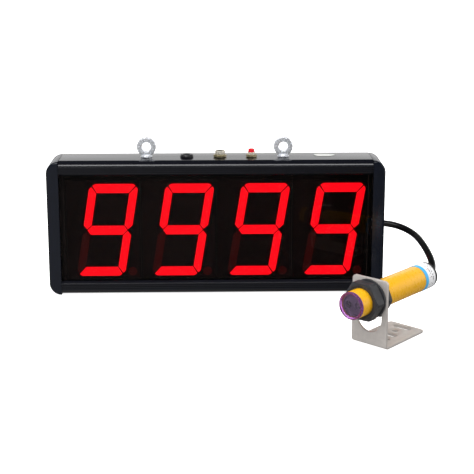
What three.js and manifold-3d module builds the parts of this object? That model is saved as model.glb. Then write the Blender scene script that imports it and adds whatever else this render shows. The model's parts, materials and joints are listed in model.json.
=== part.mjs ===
// Four-digit LED round timer and counter, with a photoelectric sensor on an L bracket.
// Millimetres, +Z up. The display faces -Y. The origin is the centre of the display's underside.

import * as THREE from 'three';
import { mergeVertices } from 'three/addons/utils/BufferGeometryUtils.js';
import Module from 'manifold-3d';

const wasm = await Module();
wasm.setup();

// ---------------------------------------------------------------- driving dimensions

const GAP = 0.3; // clearance between touching pieces

const WIDTH = 270; // display, over the end caps
const HEIGHT = 110;
const DEPTH = 36;
const CAP_WIDTH = 9.7; // end cap, along the display
const CAP_EDGE = 1.2; // chamfer round the end caps
const CAP_POCKET = 6.4; // depth of the hollow inside an end cap
const CAP_WALL = 3.2;

const RAIL_WALL = 2.5;
const RAIL_BEZEL = 11.6; // height of a rail's front band
const SHOULDER_DROP = 3.5; // where the rounded shoulder ends
const SHOULDER_BACK = 7; // how far the flat top starts behind the front
const SHOULDER_RADIUS = 6;
const GROOVE_DEPTH = 0.45; // fine grooves along the front band
const GROOVE_WIDTH = 0.6;
const GROOVES = [5.5, 7, 8.5]; // their distance from the rail's outer face
const BOSS_Y = [-7, 9.5]; // screw bosses inside the rails
const BOSS_SIZE = 7;
const BOSS_DROP = 5.8; // boss axis below the rail's outer face
const SCREW_RADIUS = 1.5;

const WINDOW_THICK = 2;
const WINDOW_Y = -14.5; // middle of the window's thickness
const REAR_PANEL_THICK = 1.5;
const REAR_PANEL_Y = 15.2;

const DIGIT_COUNT = 4;
const DIGIT_PITCH = 60.7;
const DIGIT_HEIGHT = 76.2;
const DIGIT_WIDTH = 39; // before the slant
const DIGIT_SLANT = Math.tan(THREE.MathUtils.degToRad(9.3));
const DIGIT_SHIFT = 3.5; // digit centre right of its module's centre
const DIGIT_CENTRE_Z = 53.1;
const BAR_HEIGHT = 7.4; // thickness of the level segments
const BAR_WIDTH = 6.3; // and of the upright ones
const SEGMENT_GAP = 0.8;
const CORNER_CUT = 4; // off the digit's outer corners
const POINT_RADIUS = 3.6; // decimal point
const POINT_X = 19.6;
const MODULE_WIDTH = 60.2;
const MODULE_HEIGHT = 83;
const MODULE_DEPTH = 9;
const MODULE_FRONT_Y = -12.9;
const FACE_THICK = 1.2; // digit face plate
const SEGMENT_RISE = 0.5;

const FITTING_Y = 1.25; // line of the fittings along the top
const EYE_BOLT_X = [-56, 54.2];
const JACK_X = -23.6;
const SOCKET_X = 3.2;
const BUTTON_X = 28.5;
const LABEL_X = 88;
const LABEL_SIZE = [16.8, 11.5, 0.25];
const LABEL_Y = 7.5;

const EYE_WIRE = 1.8; // radii of the eye's section and of its middle line
const EYE_RING = 5.9;
const EYE_CENTRE = 8.6; // ring centre above the top face
const EYE_FLANGE = [4.8, 2]; // radius and thickness
const EYE_SHANK = 2.5;

const JACK_THREAD = 3.4; // radii of the parts that pass through the top wall
const SOCKET_THREAD = 3.1;
const SOCKET_TOP = 5.3; // above the top face
const BUTTON_THREAD = 3.2;
const BUTTON_TOP = 6.9;
const BUTTON_TRAVEL = 1.5;
const LEAD_RADIUS = 2.6;
const LEAD_EXIT_Z = 54;
const LEAD_ROUTE = [
  // from the end cap, over to the rear of the sensor
  [136.6, 0, 54],
  [141.6, -0.4, 53.5],
  [146.6, -1.9, 52.7],
  [151.1, -4.9, 51.8],
  [154.8, -9.2, 50.9],
  [157.6, -14.6, 50.1],
  [159.8, -21, 49.3],
  [161.4, -28.6, 48.3],
  [162.7, -36.8, 46.9],
  [163.8, -44.8, 45.2],
  [164.6, -52.2, 43.3],
  [165.1, -58.6, 41.4],
  [165.2, -64, 39.6],
  [164.8, -68, 38.2],
  [163.9, -71.9, 36.9],
  [162.3, -75.7, 35.9],
  [159.9, -79, 35.5],
];

const BRACKET_PLACE = [96.5, -125]; // front left foot of the bracket on the floor
const BRACKET_TURN = THREE.MathUtils.degToRad(-43);
const BRACKET_WIDTH = 30;
const BRACKET_HEIGHT = 50.5;
const BRACKET_LENGTH = 50;
const BRACKET_THICK = 2;
const BRACKET_BEND = 3.5; // outside bend radius
const SENSOR_SLOT = [10.5, 21.2, 35.7]; // half width, lower and upper centre heights
const SENSOR_Z = 35.5; // sensor axis above the floor
const SENSOR_RADIUS = 9.9;
const SENSOR_FRONT = -23; // along the sensor axis from the bracket's front face
const SENSOR_REAR = 74;
const SENSOR_BORE = 8;
const LENS_RIM = [8.1, 8.5, 9.4]; // radii: inside, crest start and crest end
const OPTIC = [2.6, 3.7]; // radius of a window in the optics holder and its place off the axis
const SLEEVE_RANGE = [58.6, 71.4]; // label sleeve along the sensor axis
const NUT_FLATS = 26.4;
const FRONT_NUT_THICK = 9;
const REAR_NUT_THICK = 5.5;
const WASHER = [14.4, 1.6]; // radius and thickness

// ---------------------------------------------------------------- materials

function material(colour, roughness, metalness) {
  return new THREE.MeshStandardMaterial({ color: colour, roughness, metalness });
}

const ANODISED = material(0x1b1e28, 0.42, 0.6);
const MOULDED = material(0x15171c, 0.5, 0);
const SMOKED = material(0x140c0b, 0.12, 0);
const DIGIT_FACE = material(0x2a0e0c, 0.5, 0);
const STEEL = material(0xb8b8b8, 0.25, 1);
const NICKEL = material(0xd8d0b8, 0.22, 1);
const BRASS = material(0xb08a4a, 0.3, 1);
const BLACK_PLASTIC = material(0x17171a, 0.45, 0);
const RED_PLASTIC = material(0xd8142a, 0.35, 0);
const WHITE_FILM = material(0xf2f2f0, 0.5, 0);
const YELLOW_PLASTIC = material(0xf2b41c, 0.3, 0);
const LENS_PURPLE = material(0x3a1440, 0.1, 0);
const BRUSHED = material(0xbdb5b0, 0.35, 0.9);
const LEAD_BLACK = material(0x0c0c0e, 0.45, 0);
const BOARD = material(0x1e4a2c, 0.6, 0);
const CHIP = material(0x202022, 0.55, 0);
const AMBER = material(0xd87a20, 0.3, 0);

// ---------------------------------------------------------------- shape helpers

const root = new THREE.Group();

function add(name, geometry, mat, parent = root) {
  const mesh = new THREE.Mesh(geometry, mat);
  mesh.name = name;
  parent.add(mesh);
  return mesh;
}

function toSolid(geometry) {
  const bare = geometry.clone();
  bare.deleteAttribute('normal');
  bare.deleteAttribute('uv');
  const merged = mergeVertices(bare, 1e-4);
  const vertProperties = new Float32Array(merged.attributes.position.array);
  const triVerts = new Uint32Array(merged.index.array);
  return new wasm.Manifold(new wasm.Mesh({ numProp: 3, vertProperties, triVerts }));
}

function toGeometry(solid) {
  const mesh = solid.getMesh();
  const geometry = new THREE.BufferGeometry();
  geometry.setAttribute('position', new THREE.BufferAttribute(mesh.vertProperties.slice(), 3));
  geometry.setIndex(new THREE.BufferAttribute(mesh.triVerts.slice(), 1));
  geometry.computeVertexNormals();
  return geometry;
}

function cut(base, ...tools) {
  let solid = toSolid(base);
  for (const tool of tools) solid = solid.subtract(toSolid(tool));
  return toGeometry(solid);
}

function join(...pieces) {
  let solid = toSolid(pieces[0]);
  for (const piece of pieces.slice(1)) solid = solid.add(toSolid(piece));
  return toGeometry(solid);
}

function box(width, depth, height, x = 0, y = 0, z = 0) {
  return new THREE.BoxGeometry(width, depth, height).translate(x, y, z);
}

// A round bar along Z, from z0 to z1.
function barZ(radius, z0, z1, x = 0, y = 0, sides = 24) {
  const bar = new THREE.CylinderGeometry(radius, radius, z1 - z0, sides);
  return bar.rotateX(Math.PI / 2).translate(x, y, (z0 + z1) / 2);
}

// A round bar along Y, from y0 to y1.
function barY(radius, y0, y1, x = 0, z = 0, sides = 24) {
  const bar = new THREE.CylinderGeometry(radius, radius, y1 - y0, sides);
  return bar.translate(x, (y0 + y1) / 2, z);
}

// A round bar along X, from x0 to x1.
function barX(radius, x0, x1, y = 0, z = 0, sides = 16) {
  const bar = new THREE.CylinderGeometry(radius, radius, x1 - x0, sides);
  return bar.rotateZ(Math.PI / 2).translate((x0 + x1) / 2, y, z);
}

// A turned piece about Z from [radius, z] points that start and end on the axis,
// or close on themselves.
function turnedZ(points, sides = 24) {
  const profile = points.map(([r, z]) => new THREE.Vector2(r, z));
  return new THREE.LatheGeometry(profile, sides).rotateX(Math.PI / 2);
}

// The same about Y.
function turnedY(points, sides = 32) {
  const profile = points.map(([r, y]) => new THREE.Vector2(r, y));
  return new THREE.LatheGeometry(profile, sides);
}

// A closed ring profile, drawn so that its faces point out.
function ringPoints(inner, outer, low, high) {
  return [[inner, low], [outer, low], [outer, high], [inner, high], [inner, low]];
}

function hexagonPath(flats) {
  const shape = new THREE.Shape();
  const corner = flats / 2 / Math.cos(Math.PI / 6);
  for (let i = 0; i < 6; i += 1) {
    const angle = (i * Math.PI) / 3;
    const point = [corner * Math.cos(angle), corner * Math.sin(angle)];
    if (i === 0) shape.moveTo(...point);
    else shape.lineTo(...point);
  }
  shape.closePath();
  return shape;
}

// A hexagon nut about Z, from z = 0 up.
function hexNut(flats, bore, thick, sides = 24) {
  const shape = hexagonPath(flats);
  const hole = new THREE.Path();
  hole.absarc(0, 0, bore, 0, 2 * Math.PI, true);
  shape.holes.push(hole);
  return new THREE.ExtrudeGeometry(shape, { depth: thick, bevelEnabled: false, curveSegments: sides / 2 });
}

function obround(halfWidth, halfLength) {
  const shape = new THREE.Shape();
  shape.absarc(halfLength - halfWidth, 0, halfWidth, -Math.PI / 2, Math.PI / 2, false);
  shape.absarc(halfWidth - halfLength, 0, halfWidth, Math.PI / 2, (3 * Math.PI) / 2, false);
  shape.closePath();
  return shape;
}

function extrudeZ(shape, depth, curveSegments = 8) {
  return new THREE.ExtrudeGeometry(shape, { depth, bevelEnabled: false, curveSegments });
}

// ---------------------------------------------------------------- housing rails

// Rail section in (y, drop), where drop is the distance in from the rail's outer face.
function railShape() {
  const front = -DEPTH / 2;
  const back = DEPTH / 2;
  const flat = front + SHOULDER_BACK;
  const shoulderAngle = Math.acos(1 - SHOULDER_DROP / SHOULDER_RADIUS);
  const shape = new THREE.Shape();
  shape.moveTo(back, 1);
  shape.lineTo(back - 1, 0);
  shape.lineTo(flat, 0);
  const arcSteps = 5;
  for (let i = 1; i <= arcSteps; i += 1) {
    const angle = (shoulderAngle * i) / arcSteps;
    shape.lineTo(flat - SHOULDER_RADIUS * Math.sin(angle), SHOULDER_RADIUS * (1 - Math.cos(angle)));
  }
  shape.lineTo(front + 0.5, SHOULDER_DROP + 0.1);
  shape.lineTo(front, SHOULDER_DROP + 0.6);
  for (const drop of GROOVES) {
    shape.lineTo(front, drop - GROOVE_WIDTH / 2);
    shape.lineTo(front + GROOVE_DEPTH, drop);
    shape.lineTo(front, drop + GROOVE_WIDTH / 2);
  }
  const slotFront = WINDOW_Y - WINDOW_THICK / 2 - GAP;
  const slotBack = WINDOW_Y + WINDOW_THICK / 2 + GAP;
  const slotTop = RAIL_BEZEL - 4.6;
  shape.lineTo(front, RAIL_BEZEL - 1.9);
  shape.lineTo(slotFront - 0.3, RAIL_BEZEL);
  shape.lineTo(slotFront, RAIL_BEZEL);
  shape.lineTo(slotFront, slotTop);
  shape.lineTo(slotBack, slotTop);
  shape.lineTo(slotBack, RAIL_BEZEL - 0.4);
  shape.lineTo(slotBack + 0.7, RAIL_BEZEL - 0.4);
  shape.lineTo(slotBack + 0.7, RAIL_WALL);
  for (const y of BOSS_Y) {
    shape.lineTo(y - BOSS_SIZE / 2, RAIL_WALL);
    shape.lineTo(y - BOSS_SIZE / 2, BOSS_DROP + BOSS_SIZE / 2);
    shape.lineTo(y + BOSS_SIZE / 2, BOSS_DROP + BOSS_SIZE / 2);
    shape.lineTo(y + BOSS_SIZE / 2, RAIL_WALL);
  }
  const rearSlotFront = REAR_PANEL_Y - REAR_PANEL_THICK / 2 - GAP;
  const rearSlotBack = REAR_PANEL_Y + REAR_PANEL_THICK / 2 + GAP;
  shape.lineTo(rearSlotFront - 0.8, RAIL_WALL);
  shape.lineTo(rearSlotFront - 0.8, RAIL_BEZEL - 2);
  shape.lineTo(rearSlotFront, RAIL_BEZEL - 2);
  shape.lineTo(rearSlotFront, slotTop - 3);
  shape.lineTo(rearSlotBack, slotTop - 3);
  shape.lineTo(rearSlotBack, RAIL_BEZEL - 2);
  shape.lineTo(back, RAIL_BEZEL - 2);
  shape.closePath();
  for (const y of BOSS_Y) {
    const hole = new THREE.Path();
    hole.absarc(y, BOSS_DROP, SCREW_RADIUS + GAP, 0, 2 * Math.PI, false);
    shape.holes.push(hole);
  }
  return shape;
}

// Takes an extrusion's (section x, section y, along) to (along, section x, section y).
const ALONG_X = new THREE.Matrix4().set(0, 0, 1, 0, 1, 0, 0, 0, 0, 1, 0, 0, 0, 0, 0, 1);
// The same, hanging down from the display's top face.
const ALONG_X_TOP = new THREE.Matrix4().set(0, 0, -1, 0, 1, 0, 0, 0, 0, -1, 0, HEIGHT, 0, 0, 0, 1);

function rail(placement) {
  const length = WIDTH - 2 * (CAP_WIDTH + GAP);
  return extrudeZ(railShape(), length, 6).translate(0, 0, -length / 2).applyMatrix4(placement);
}

// Each fitting's hole in the top rail: [x, radius of the part that goes through it].
const TOP_HOLES = [
  ...EYE_BOLT_X.map((x) => [x, EYE_SHANK]),
  [JACK_X, JACK_THREAD],
  [SOCKET_X, SOCKET_THREAD],
  [BUTTON_X, BUTTON_THREAD],
];
const topHoleTools = TOP_HOLES.map(([x, radius]) => (
  barZ(radius + GAP, HEIGHT - RAIL_WALL - 1, HEIGHT + 1, x, FITTING_Y)
));
add('top_rail', cut(rail(ALONG_X_TOP), ...topHoleTools), ANODISED);
add('bottom_rail', rail(ALONG_X), ANODISED);

// ---------------------------------------------------------------- end caps and their screws

const SCREW_HEIGHTS = [BOSS_DROP, HEIGHT - BOSS_DROP];
const SCREW_HEAD = [2.7, 1.8]; // radius and thickness
const SCREW_SEAT = 5.4; // from the cap's inner face to the underside of the head
const SCREW_LENGTH = 15;
const GROMMET = [4, 2.9]; // radius in the wall and of the lead's hole

// The cap as seen from the front, with its inner face at x = 0 and its rounded side at +x.
function capShape() {
  const steps = 8;
  const low = [];
  for (let i = 0; i <= steps; i += 1) {
    const angle = (i * Math.PI) / 2 / steps;
    low.push([i === 0 ? 0 : CAP_WIDTH * Math.sin(angle), CAP_WIDTH * (1 - Math.cos(angle))]);
  }
  const high = low.map(([x, z]) => [x, HEIGHT - z]).reverse();
  return new THREE.Shape([...low, ...high].map(([x, z]) => new THREE.Vector2(x, z)));
}

function endCap(side) {
  const slab = new THREE.ExtrudeGeometry(capShape(), {
    depth: DEPTH - 2 * CAP_EDGE,
    bevelThickness: CAP_EDGE,
    bevelSize: CAP_EDGE,
    bevelOffset: -CAP_EDGE,
    bevelSegments: 2,
  });
  slab.translate(0, 0, CAP_EDGE).rotateX(Math.PI / 2).translate(0, DEPTH / 2, 0);
  const pocketHeight = HEIGHT - 2 * CAP_WIDTH;
  const tools = [
    box(2 * CAP_POCKET, DEPTH - 2 * CAP_WALL, pocketHeight, 0, 0, HEIGHT / 2),
  ];
  for (const y of BOSS_Y) {
    for (const z of SCREW_HEIGHTS) {
      // the left cap is turned half round below, so its holes start on the other side
      tools.push(barX(SCREW_RADIUS + GAP, -1, CAP_WIDTH + 1, side * y, z));
      tools.push(barX(SCREW_HEAD[0] + GAP, SCREW_SEAT, CAP_WIDTH + 1, side * y, z, 20));
    }
  }
  if (side > 0) tools.push(barX(GROMMET[0] + GAP, 1, CAP_WIDTH + 1, 0, LEAD_EXIT_Z, 24));
  const cap = cut(slab, ...tools);
  if (side < 0) cap.rotateZ(Math.PI);
  return cap.translate(side * (WIDTH / 2 - CAP_WIDTH), 0, 0);
}

add('left_end_cap', endCap(-1), MOULDED);
add('right_end_cap', endCap(1), MOULDED);

function capScrew() {
  const [headRadius, headThick] = SCREW_HEAD;
  const screw = turnedZ([
    [0, -SCREW_LENGTH],
    [SCREW_RADIUS, -SCREW_LENGTH],
    [SCREW_RADIUS, 0],
    [headRadius, 0],
    [headRadius, headThick * 0.6],
    [headRadius * 0.7, headThick],
    [0, headThick],
  ], 16);
  return cut(screw, barZ(1.1, headThick - 1, headThick + 1, 0, 0, 6));
}

for (const [sideName, side] of [['left', -1], ['right', 1]]) {
  let number = 1;
  for (const y of BOSS_Y) {
    for (const z of SCREW_HEIGHTS) {
      const screw = add(`end_screw_${sideName}_${number}`, capScrew(), STEEL);
      screw.rotation.y = (side * Math.PI) / 2;
      screw.position.set(side * (WIDTH / 2 - CAP_WIDTH + SCREW_SEAT + 0.05), y, z);
      number += 1;
    }
  }
}

add('lead_grommet', turnedZ([
  [GROMMET[1], 2],
  [GROMMET[0], 2],
  [GROMMET[0], CAP_WIDTH + 0.2],
  [GROMMET[0] + 0.9, CAP_WIDTH + 0.2],
  [GROMMET[0] + 0.4, CAP_WIDTH + 1.2],
  [GROMMET[1], CAP_WIDTH + 1.2],
  [GROMMET[1], 2],
], 24).rotateY(Math.PI / 2).translate(WIDTH / 2 - CAP_WIDTH, 0, LEAD_EXIT_Z), BLACK_PLASTIC);

// ---------------------------------------------------------------- window and rear panel

const PANEL_WIDTH = WIDTH - 2 * (CAP_WIDTH + GAP);
const WINDOW_HEIGHT = HEIGHT - 2 * (RAIL_BEZEL - 4.6 + GAP);
const REAR_PANEL_HEIGHT = HEIGHT - 2 * (RAIL_BEZEL - 7.6 + GAP);
add('front_window', box(PANEL_WIDTH, WINDOW_THICK, WINDOW_HEIGHT, 0, WINDOW_Y, HEIGHT / 2), SMOKED);
add('rear_panel', box(PANEL_WIDTH, REAR_PANEL_THICK, REAR_PANEL_HEIGHT, 0, REAR_PANEL_Y, HEIGHT / 2), ANODISED);

// ---------------------------------------------------------------- digit modules

const FACE_WIDTH = MODULE_WIDTH - 2.6;
const FACE_HEIGHT = MODULE_HEIGHT - 2.6;
const FACE_Y = MODULE_FRONT_Y + 1.5; // back of the face plate

const SEAT_DEPTH = 1.8; // of the face plate's seat in the module
const MODULE_WALL = 3;
const MODULE_FLOOR = 4; // from the module's front to its rear hollow

function moduleHousing(x) {
  const outer = box(MODULE_WIDTH, MODULE_DEPTH, MODULE_HEIGHT, 0, MODULE_DEPTH / 2, 0);
  const faceSeat = box(FACE_WIDTH + 2 * GAP, 2 * SEAT_DEPTH, FACE_HEIGHT + 2 * GAP, 0, 0, 0);
  const hollowDepth = 2 * (MODULE_DEPTH - MODULE_FLOOR);
  const hollowWidth = MODULE_WIDTH - 2 * MODULE_WALL;
  const backHollow = box(hollowWidth, hollowDepth, MODULE_HEIGHT - 2 * MODULE_WALL, 0, MODULE_DEPTH, 0);
  return cut(outer, faceSeat, backHollow).translate(x, MODULE_FRONT_Y, DIGIT_CENTRE_Z);
}

// Outlines of the three kinds of segment, in the digit's upright frame about its centre.
// The outer corners of the digit are cut off, and neighbours meet in mitres with a gap.
function segmentOutlines() {
  const side = DIGIT_WIDTH / 2;
  const top = DIGIT_HEIGHT / 2;
  const half = BAR_HEIGHT / 2;
  const inner = side - BAR_WIDTH;
  const tip = side - BAR_WIDTH / 2;
  const cut2 = CORNER_CUT / 2;
  const gap = SEGMENT_GAP / 2;
  const level = [
    [-inner + gap, top - BAR_HEIGHT],
    [inner - gap, top - BAR_HEIGHT],
    [side - cut2 - gap, top - cut2 + gap],
    [side - CORNER_CUT, top],
    [CORNER_CUT - side, top],
    [cut2 + gap - side, top - cut2 + gap],
  ];
  const middle = [
    [gap - tip, 0],
    [gap - inner, -half],
    [inner - gap, -half],
    [tip - gap, 0],
    [inner - gap, half],
    [gap - inner, half],
  ];
  const upright = [
    [-side, half + gap],
    [-tip, 2 * gap],
    [-inner, half + gap],
    [-inner, top - BAR_HEIGHT - gap],
    [cut2 - side - gap, top - cut2 - gap],
    [-side, top - CORNER_CUT],
  ];
  return { level, middle, upright };
}

// The seven segments: outline and the signs that mirror it in x and z.
function segmentList() {
  const { level, middle, upright } = segmentOutlines();
  const corners = [[1, 1], [-1, 1], [1, -1], [-1, -1]];
  return [
    [level, 1, 1],
    [level, 1, -1],
    [middle, 1, 1],
    ...corners.map(([flipX, flipZ]) => [upright, flipX, flipZ]),
  ];
}

function segmentShape([outline, flipX, flipZ]) {
  const points = outline.map(([x, z]) => (
    new THREE.Vector2(DIGIT_SHIFT + flipX * x + flipZ * z * DIGIT_SLANT, flipZ * z)
  ));
  return new THREE.Shape(points);
}

function digitFace(x) {
  const pieces = [box(FACE_WIDTH, FACE_THICK, FACE_HEIGHT, 0, -FACE_THICK / 2, 0)];
  const front = FACE_THICK + SEGMENT_RISE;
  for (const segment of segmentList()) {
    const bar = extrudeZ(segmentShape(segment), front - GAP).translate(0, 0, GAP);
    pieces.push(bar.rotateX(Math.PI / 2));
  }
  const pointX = DIGIT_SHIFT + POINT_X;
  pieces.push(barY(POINT_RADIUS, -front, -GAP, pointX, POINT_RADIUS - DIGIT_HEIGHT / 2, 20));
  return join(...pieces).translate(x, FACE_Y, DIGIT_CENTRE_Z);
}

for (let i = 0; i < DIGIT_COUNT; i += 1) {
  const x = (i - (DIGIT_COUNT - 1) / 2) * DIGIT_PITCH;
  add(`digit_module_${i + 1}`, moduleHousing(x), CHIP);
  add(`digit_face_${i + 1}`, digitFace(x), DIGIT_FACE);
}

// ---------------------------------------------------------------- electronics inside

const BOARD_BACK = -2; // the side the parts stand on
const BOARD_THICK = 1.6;
const BOARD_Z = 54;
const BOARD_SIZE = [244, 82];
const RADIO_LIFT = 3; // the radio board stands on its pins
const BUZZER = [6, 8]; // radius and depth
const BUZZER_PLACE = [62, 38];

function onBoard(name, [width, depth, height], [x, z], lift, mat) {
  add(name, box(width, depth, height, x, BOARD_BACK + lift + depth / 2, z), mat);
}

onBoard('display_board', [BOARD_SIZE[0], BOARD_THICK, BOARD_SIZE[1]], [0, BOARD_Z], -BOARD_THICK, BOARD);
onBoard('control_chip', [14, 2.2, 14], [-30, 60], GAP, CHIP);
onBoard('voltage_regulator', [10, 4.4, 15], [-70, 78], GAP, CHIP);
onBoard('radio_board', [28, 1.2, 14], [20, 76], RADIO_LIFT, BOARD);
add('buzzer', barY(BUZZER[0], BOARD_BACK + GAP, BOARD_BACK + GAP + BUZZER[1], ...BUZZER_PLACE), BLACK_PLASTIC);

// ---------------------------------------------------------------- eye bolts

function eyeBolt() {
  const [flangeRadius, flangeThick] = EYE_FLANGE;
  const ring = new THREE.TorusGeometry(EYE_RING, EYE_WIRE, 10, 24).rotateX(Math.PI / 2);
  ring.translate(0, 0, EYE_CENTRE);
  const foot = turnedZ([
    [0, -8.5],
    [EYE_SHANK - 0.4, -8.5],
    [EYE_SHANK, -8],
    [EYE_SHANK, 0.1],
    [flangeRadius, 0.1],
    [flangeRadius, flangeThick - 0.4],
    [flangeRadius - 0.5, flangeThick],
    [3, flangeThick + 0.7],
    [0, flangeThick + 0.7],
  ], 24);
  return join(foot, ring);
}

for (const [i, sideName] of ['left', 'right'].entries()) {
  add(`eye_bolt_${sideName}`, eyeBolt().translate(EYE_BOLT_X[i], FITTING_Y, HEIGHT), STEEL);
  const nut = hexNut(8, EYE_SHANK + GAP, 4).translate(EYE_BOLT_X[i], FITTING_Y, HEIGHT - RAIL_WALL - 4.3);
  add(`eye_bolt_nut_${sideName}`, nut, STEEL);
}

// ---------------------------------------------------------------- power jack

add('power_jack', turnedZ([
  [0, -12],
  [JACK_THREAD, -12],
  [JACK_THREAD, 0.1],
  [5.3, 0.1],
  [5.3, 1.2],
  [4.5, 2.3],
  [2.9, 2.3],
  [2.9, -8],
  [0, -8],
], 28).translate(JACK_X, FITTING_Y, HEIGHT), BLACK_PLASTIC);
add('power_jack_pin', turnedZ([
  [0, -7.7],
  [1.05, -7.7],
  [1.05, 1],
  [0.7, 1.5],
  [0, 1.5],
], 16).translate(JACK_X, FITTING_Y, HEIGHT), NICKEL);
add('power_jack_nut', hexNut(8.7, JACK_THREAD + GAP, 2.4)
  .translate(JACK_X, FITTING_Y, HEIGHT - RAIL_WALL - 2.7), BLACK_PLASTIC);

// ---------------------------------------------------------------- trigger socket

add('trigger_socket', turnedZ([
  [2.2, -9],
  [4.2, -9],
  [4.2, -2.8],
  [SOCKET_THREAD, -2.8],
  [SOCKET_THREAD, 2.4],
  [4, 2.4],
  [4, SOCKET_TOP - 0.3],
  [3.7, SOCKET_TOP],
  [3.3, SOCKET_TOP],
  [3.3, 1.2],
  [2.2, 1.2],
  [2.2, -9],
], 28).translate(SOCKET_X, FITTING_Y, HEIGHT), NICKEL);
add('trigger_socket_nut', hexNut(9.6, SOCKET_THREAD + GAP, 1.9)
  .translate(SOCKET_X, FITTING_Y, HEIGHT + 0.15), BRASS);
add('trigger_socket_insulator', turnedZ([
  [1.5, -8.6],
  [1.9, -8.6],
  [1.9, 1.6],
  [2.9, 1.6],
  [2.9, SOCKET_TOP - 1.4],
  [1.5, SOCKET_TOP - 1.4],
  [1.5, -8.6],
], 24).translate(SOCKET_X, FITTING_Y, HEIGHT), BLACK_PLASTIC);
add('trigger_socket_contact', turnedZ([
  [0, -10],
  [1.2, -10],
  [1.2, SOCKET_TOP - 1.8],
  [0.7, SOCKET_TOP - 1.8],
  [0.7, -2],
  [0, -2],
], 16).translate(SOCKET_X, FITTING_Y, HEIGHT), BRASS);

// ---------------------------------------------------------------- push button

add('button_bush', turnedZ([
  [1.6, -12],
  [4.2, -12],
  [4.2, -2.8],
  [BUTTON_THREAD, -2.8],
  [BUTTON_THREAD, 3.2],
  [3.1, 4],
  [2.8, 4],
  [2.8, -1],
  [1.6, -1],
  [1.6, -12],
], 28).translate(BUTTON_X, FITTING_Y, HEIGHT), NICKEL);
add('button_nut', hexNut(8.2, BUTTON_THREAD + GAP, 1.9)
  .translate(BUTTON_X, FITTING_Y, HEIGHT + 0.15), BRASS);
add('button_cap', turnedZ([
  [0, -8],
  [1.2, -8],
  [1.2, -0.7 + BUTTON_TRAVEL],
  [2.5, -0.7 + BUTTON_TRAVEL],
  [2.5, BUTTON_TOP - 0.8],
  [2.05, BUTTON_TOP - 0.3],
  [1, BUTTON_TOP - 0.05],
  [0, BUTTON_TOP],
], 24).translate(BUTTON_X, FITTING_Y, HEIGHT), RED_PLASTIC);

// ---------------------------------------------------------------- label on the top face

add('top_label', box(...LABEL_SIZE, LABEL_X, LABEL_Y, HEIGHT + LABEL_SIZE[2] / 2 + 0.05), WHITE_FILM);

// ---------------------------------------------------------------- sensor bracket

const stand = new THREE.Group();
stand.position.set(...BRACKET_PLACE, 0);
stand.rotation.z = BRACKET_TURN;
root.add(stand);

// Section in (back, up): the upright at the front, the foot running back.
function bracketShape() {
  const shape = new THREE.Shape();
  const inner = BRACKET_BEND - BRACKET_THICK;
  shape.moveTo(0, BRACKET_HEIGHT);
  shape.lineTo(0, BRACKET_BEND);
  shape.absarc(BRACKET_BEND, BRACKET_BEND, BRACKET_BEND, Math.PI, 1.5 * Math.PI, false);
  shape.lineTo(BRACKET_LENGTH, 0);
  shape.lineTo(BRACKET_LENGTH, BRACKET_THICK);
  shape.lineTo(BRACKET_BEND, BRACKET_THICK);
  shape.absarc(BRACKET_BEND, BRACKET_BEND, inner, 1.5 * Math.PI, Math.PI, true);
  shape.lineTo(BRACKET_THICK, BRACKET_HEIGHT);
  shape.closePath();
  return shape;
}

const CORNER_CHAMFER = 2.6;

function cornerTool(x, y, z, alongZ) {
  const size = CORNER_CHAMFER * Math.SQRT2;
  const tool = new THREE.BoxGeometry(size, size, 12).rotateZ(Math.PI / 4);
  if (!alongZ) tool.rotateX(Math.PI / 2);
  return tool.translate(x, y, z);
}

const FOOT_SLOTS = [[0.87, 7.4], [0.5, 7.4], [0.3, 7.4]]; // [share of the length, half length]
const FOOT_SLOT_HALF_WIDTH = 2.2;
const FOOT_HOLE = [0.68, 2.4];

function footSlot([share, halfLength]) {
  return extrudeZ(obround(FOOT_SLOT_HALF_WIDTH, halfLength), 8, 6)
    .translate(BRACKET_WIDTH / 2, share * BRACKET_LENGTH, -3);
}

function sensorSlot() {
  const [halfWidth, low, high] = SENSOR_SLOT;
  return extrudeZ(obround(halfWidth, (high - low) / 2 + halfWidth), 12, 12)
    .rotateZ(Math.PI / 2)
    .rotateX(Math.PI / 2)
    .translate(BRACKET_WIDTH / 2, 6, (low + high) / 2);
}

const bracketBlank = extrudeZ(bracketShape(), BRACKET_WIDTH, 6).applyMatrix4(ALONG_X);
add('sensor_bracket', cut(
  bracketBlank,
  sensorSlot(),
  ...FOOT_SLOTS.map(footSlot),
  barZ(FOOT_HOLE[1], -2, 6, BRACKET_WIDTH / 2, FOOT_HOLE[0] * BRACKET_LENGTH, 20),
  cornerTool(0, 1, BRACKET_HEIGHT, false),
  cornerTool(BRACKET_WIDTH, 1, BRACKET_HEIGHT, false),
  cornerTool(0, BRACKET_LENGTH, 1, true),
  cornerTool(BRACKET_WIDTH, BRACKET_LENGTH, 1, true),
), BRUSHED, stand);

// ---------------------------------------------------------------- photoelectric sensor

const sensor = new THREE.Group();
sensor.position.set(BRACKET_WIDTH / 2, 0, SENSOR_Z);
stand.add(sensor);

const BARREL_FRONT = SENSOR_FRONT + 2.5;
const BARREL_REAR = SENSOR_REAR - 2.2;
const SEAT_RADIUS = 9.4; // under the label sleeve

add('sensor_barrel', turnedY([
  [SENSOR_BORE, BARREL_FRONT],
  [SENSOR_RADIUS, BARREL_FRONT],
  [SENSOR_RADIUS, SLEEVE_RANGE[0] - GAP],
  [SEAT_RADIUS, SLEEVE_RANGE[0] - GAP],
  [SEAT_RADIUS, BARREL_REAR],
  [SENSOR_BORE, BARREL_REAR],
  [SENSOR_BORE, BARREL_FRONT],
], 36), YELLOW_PLASTIC, sensor);

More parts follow.
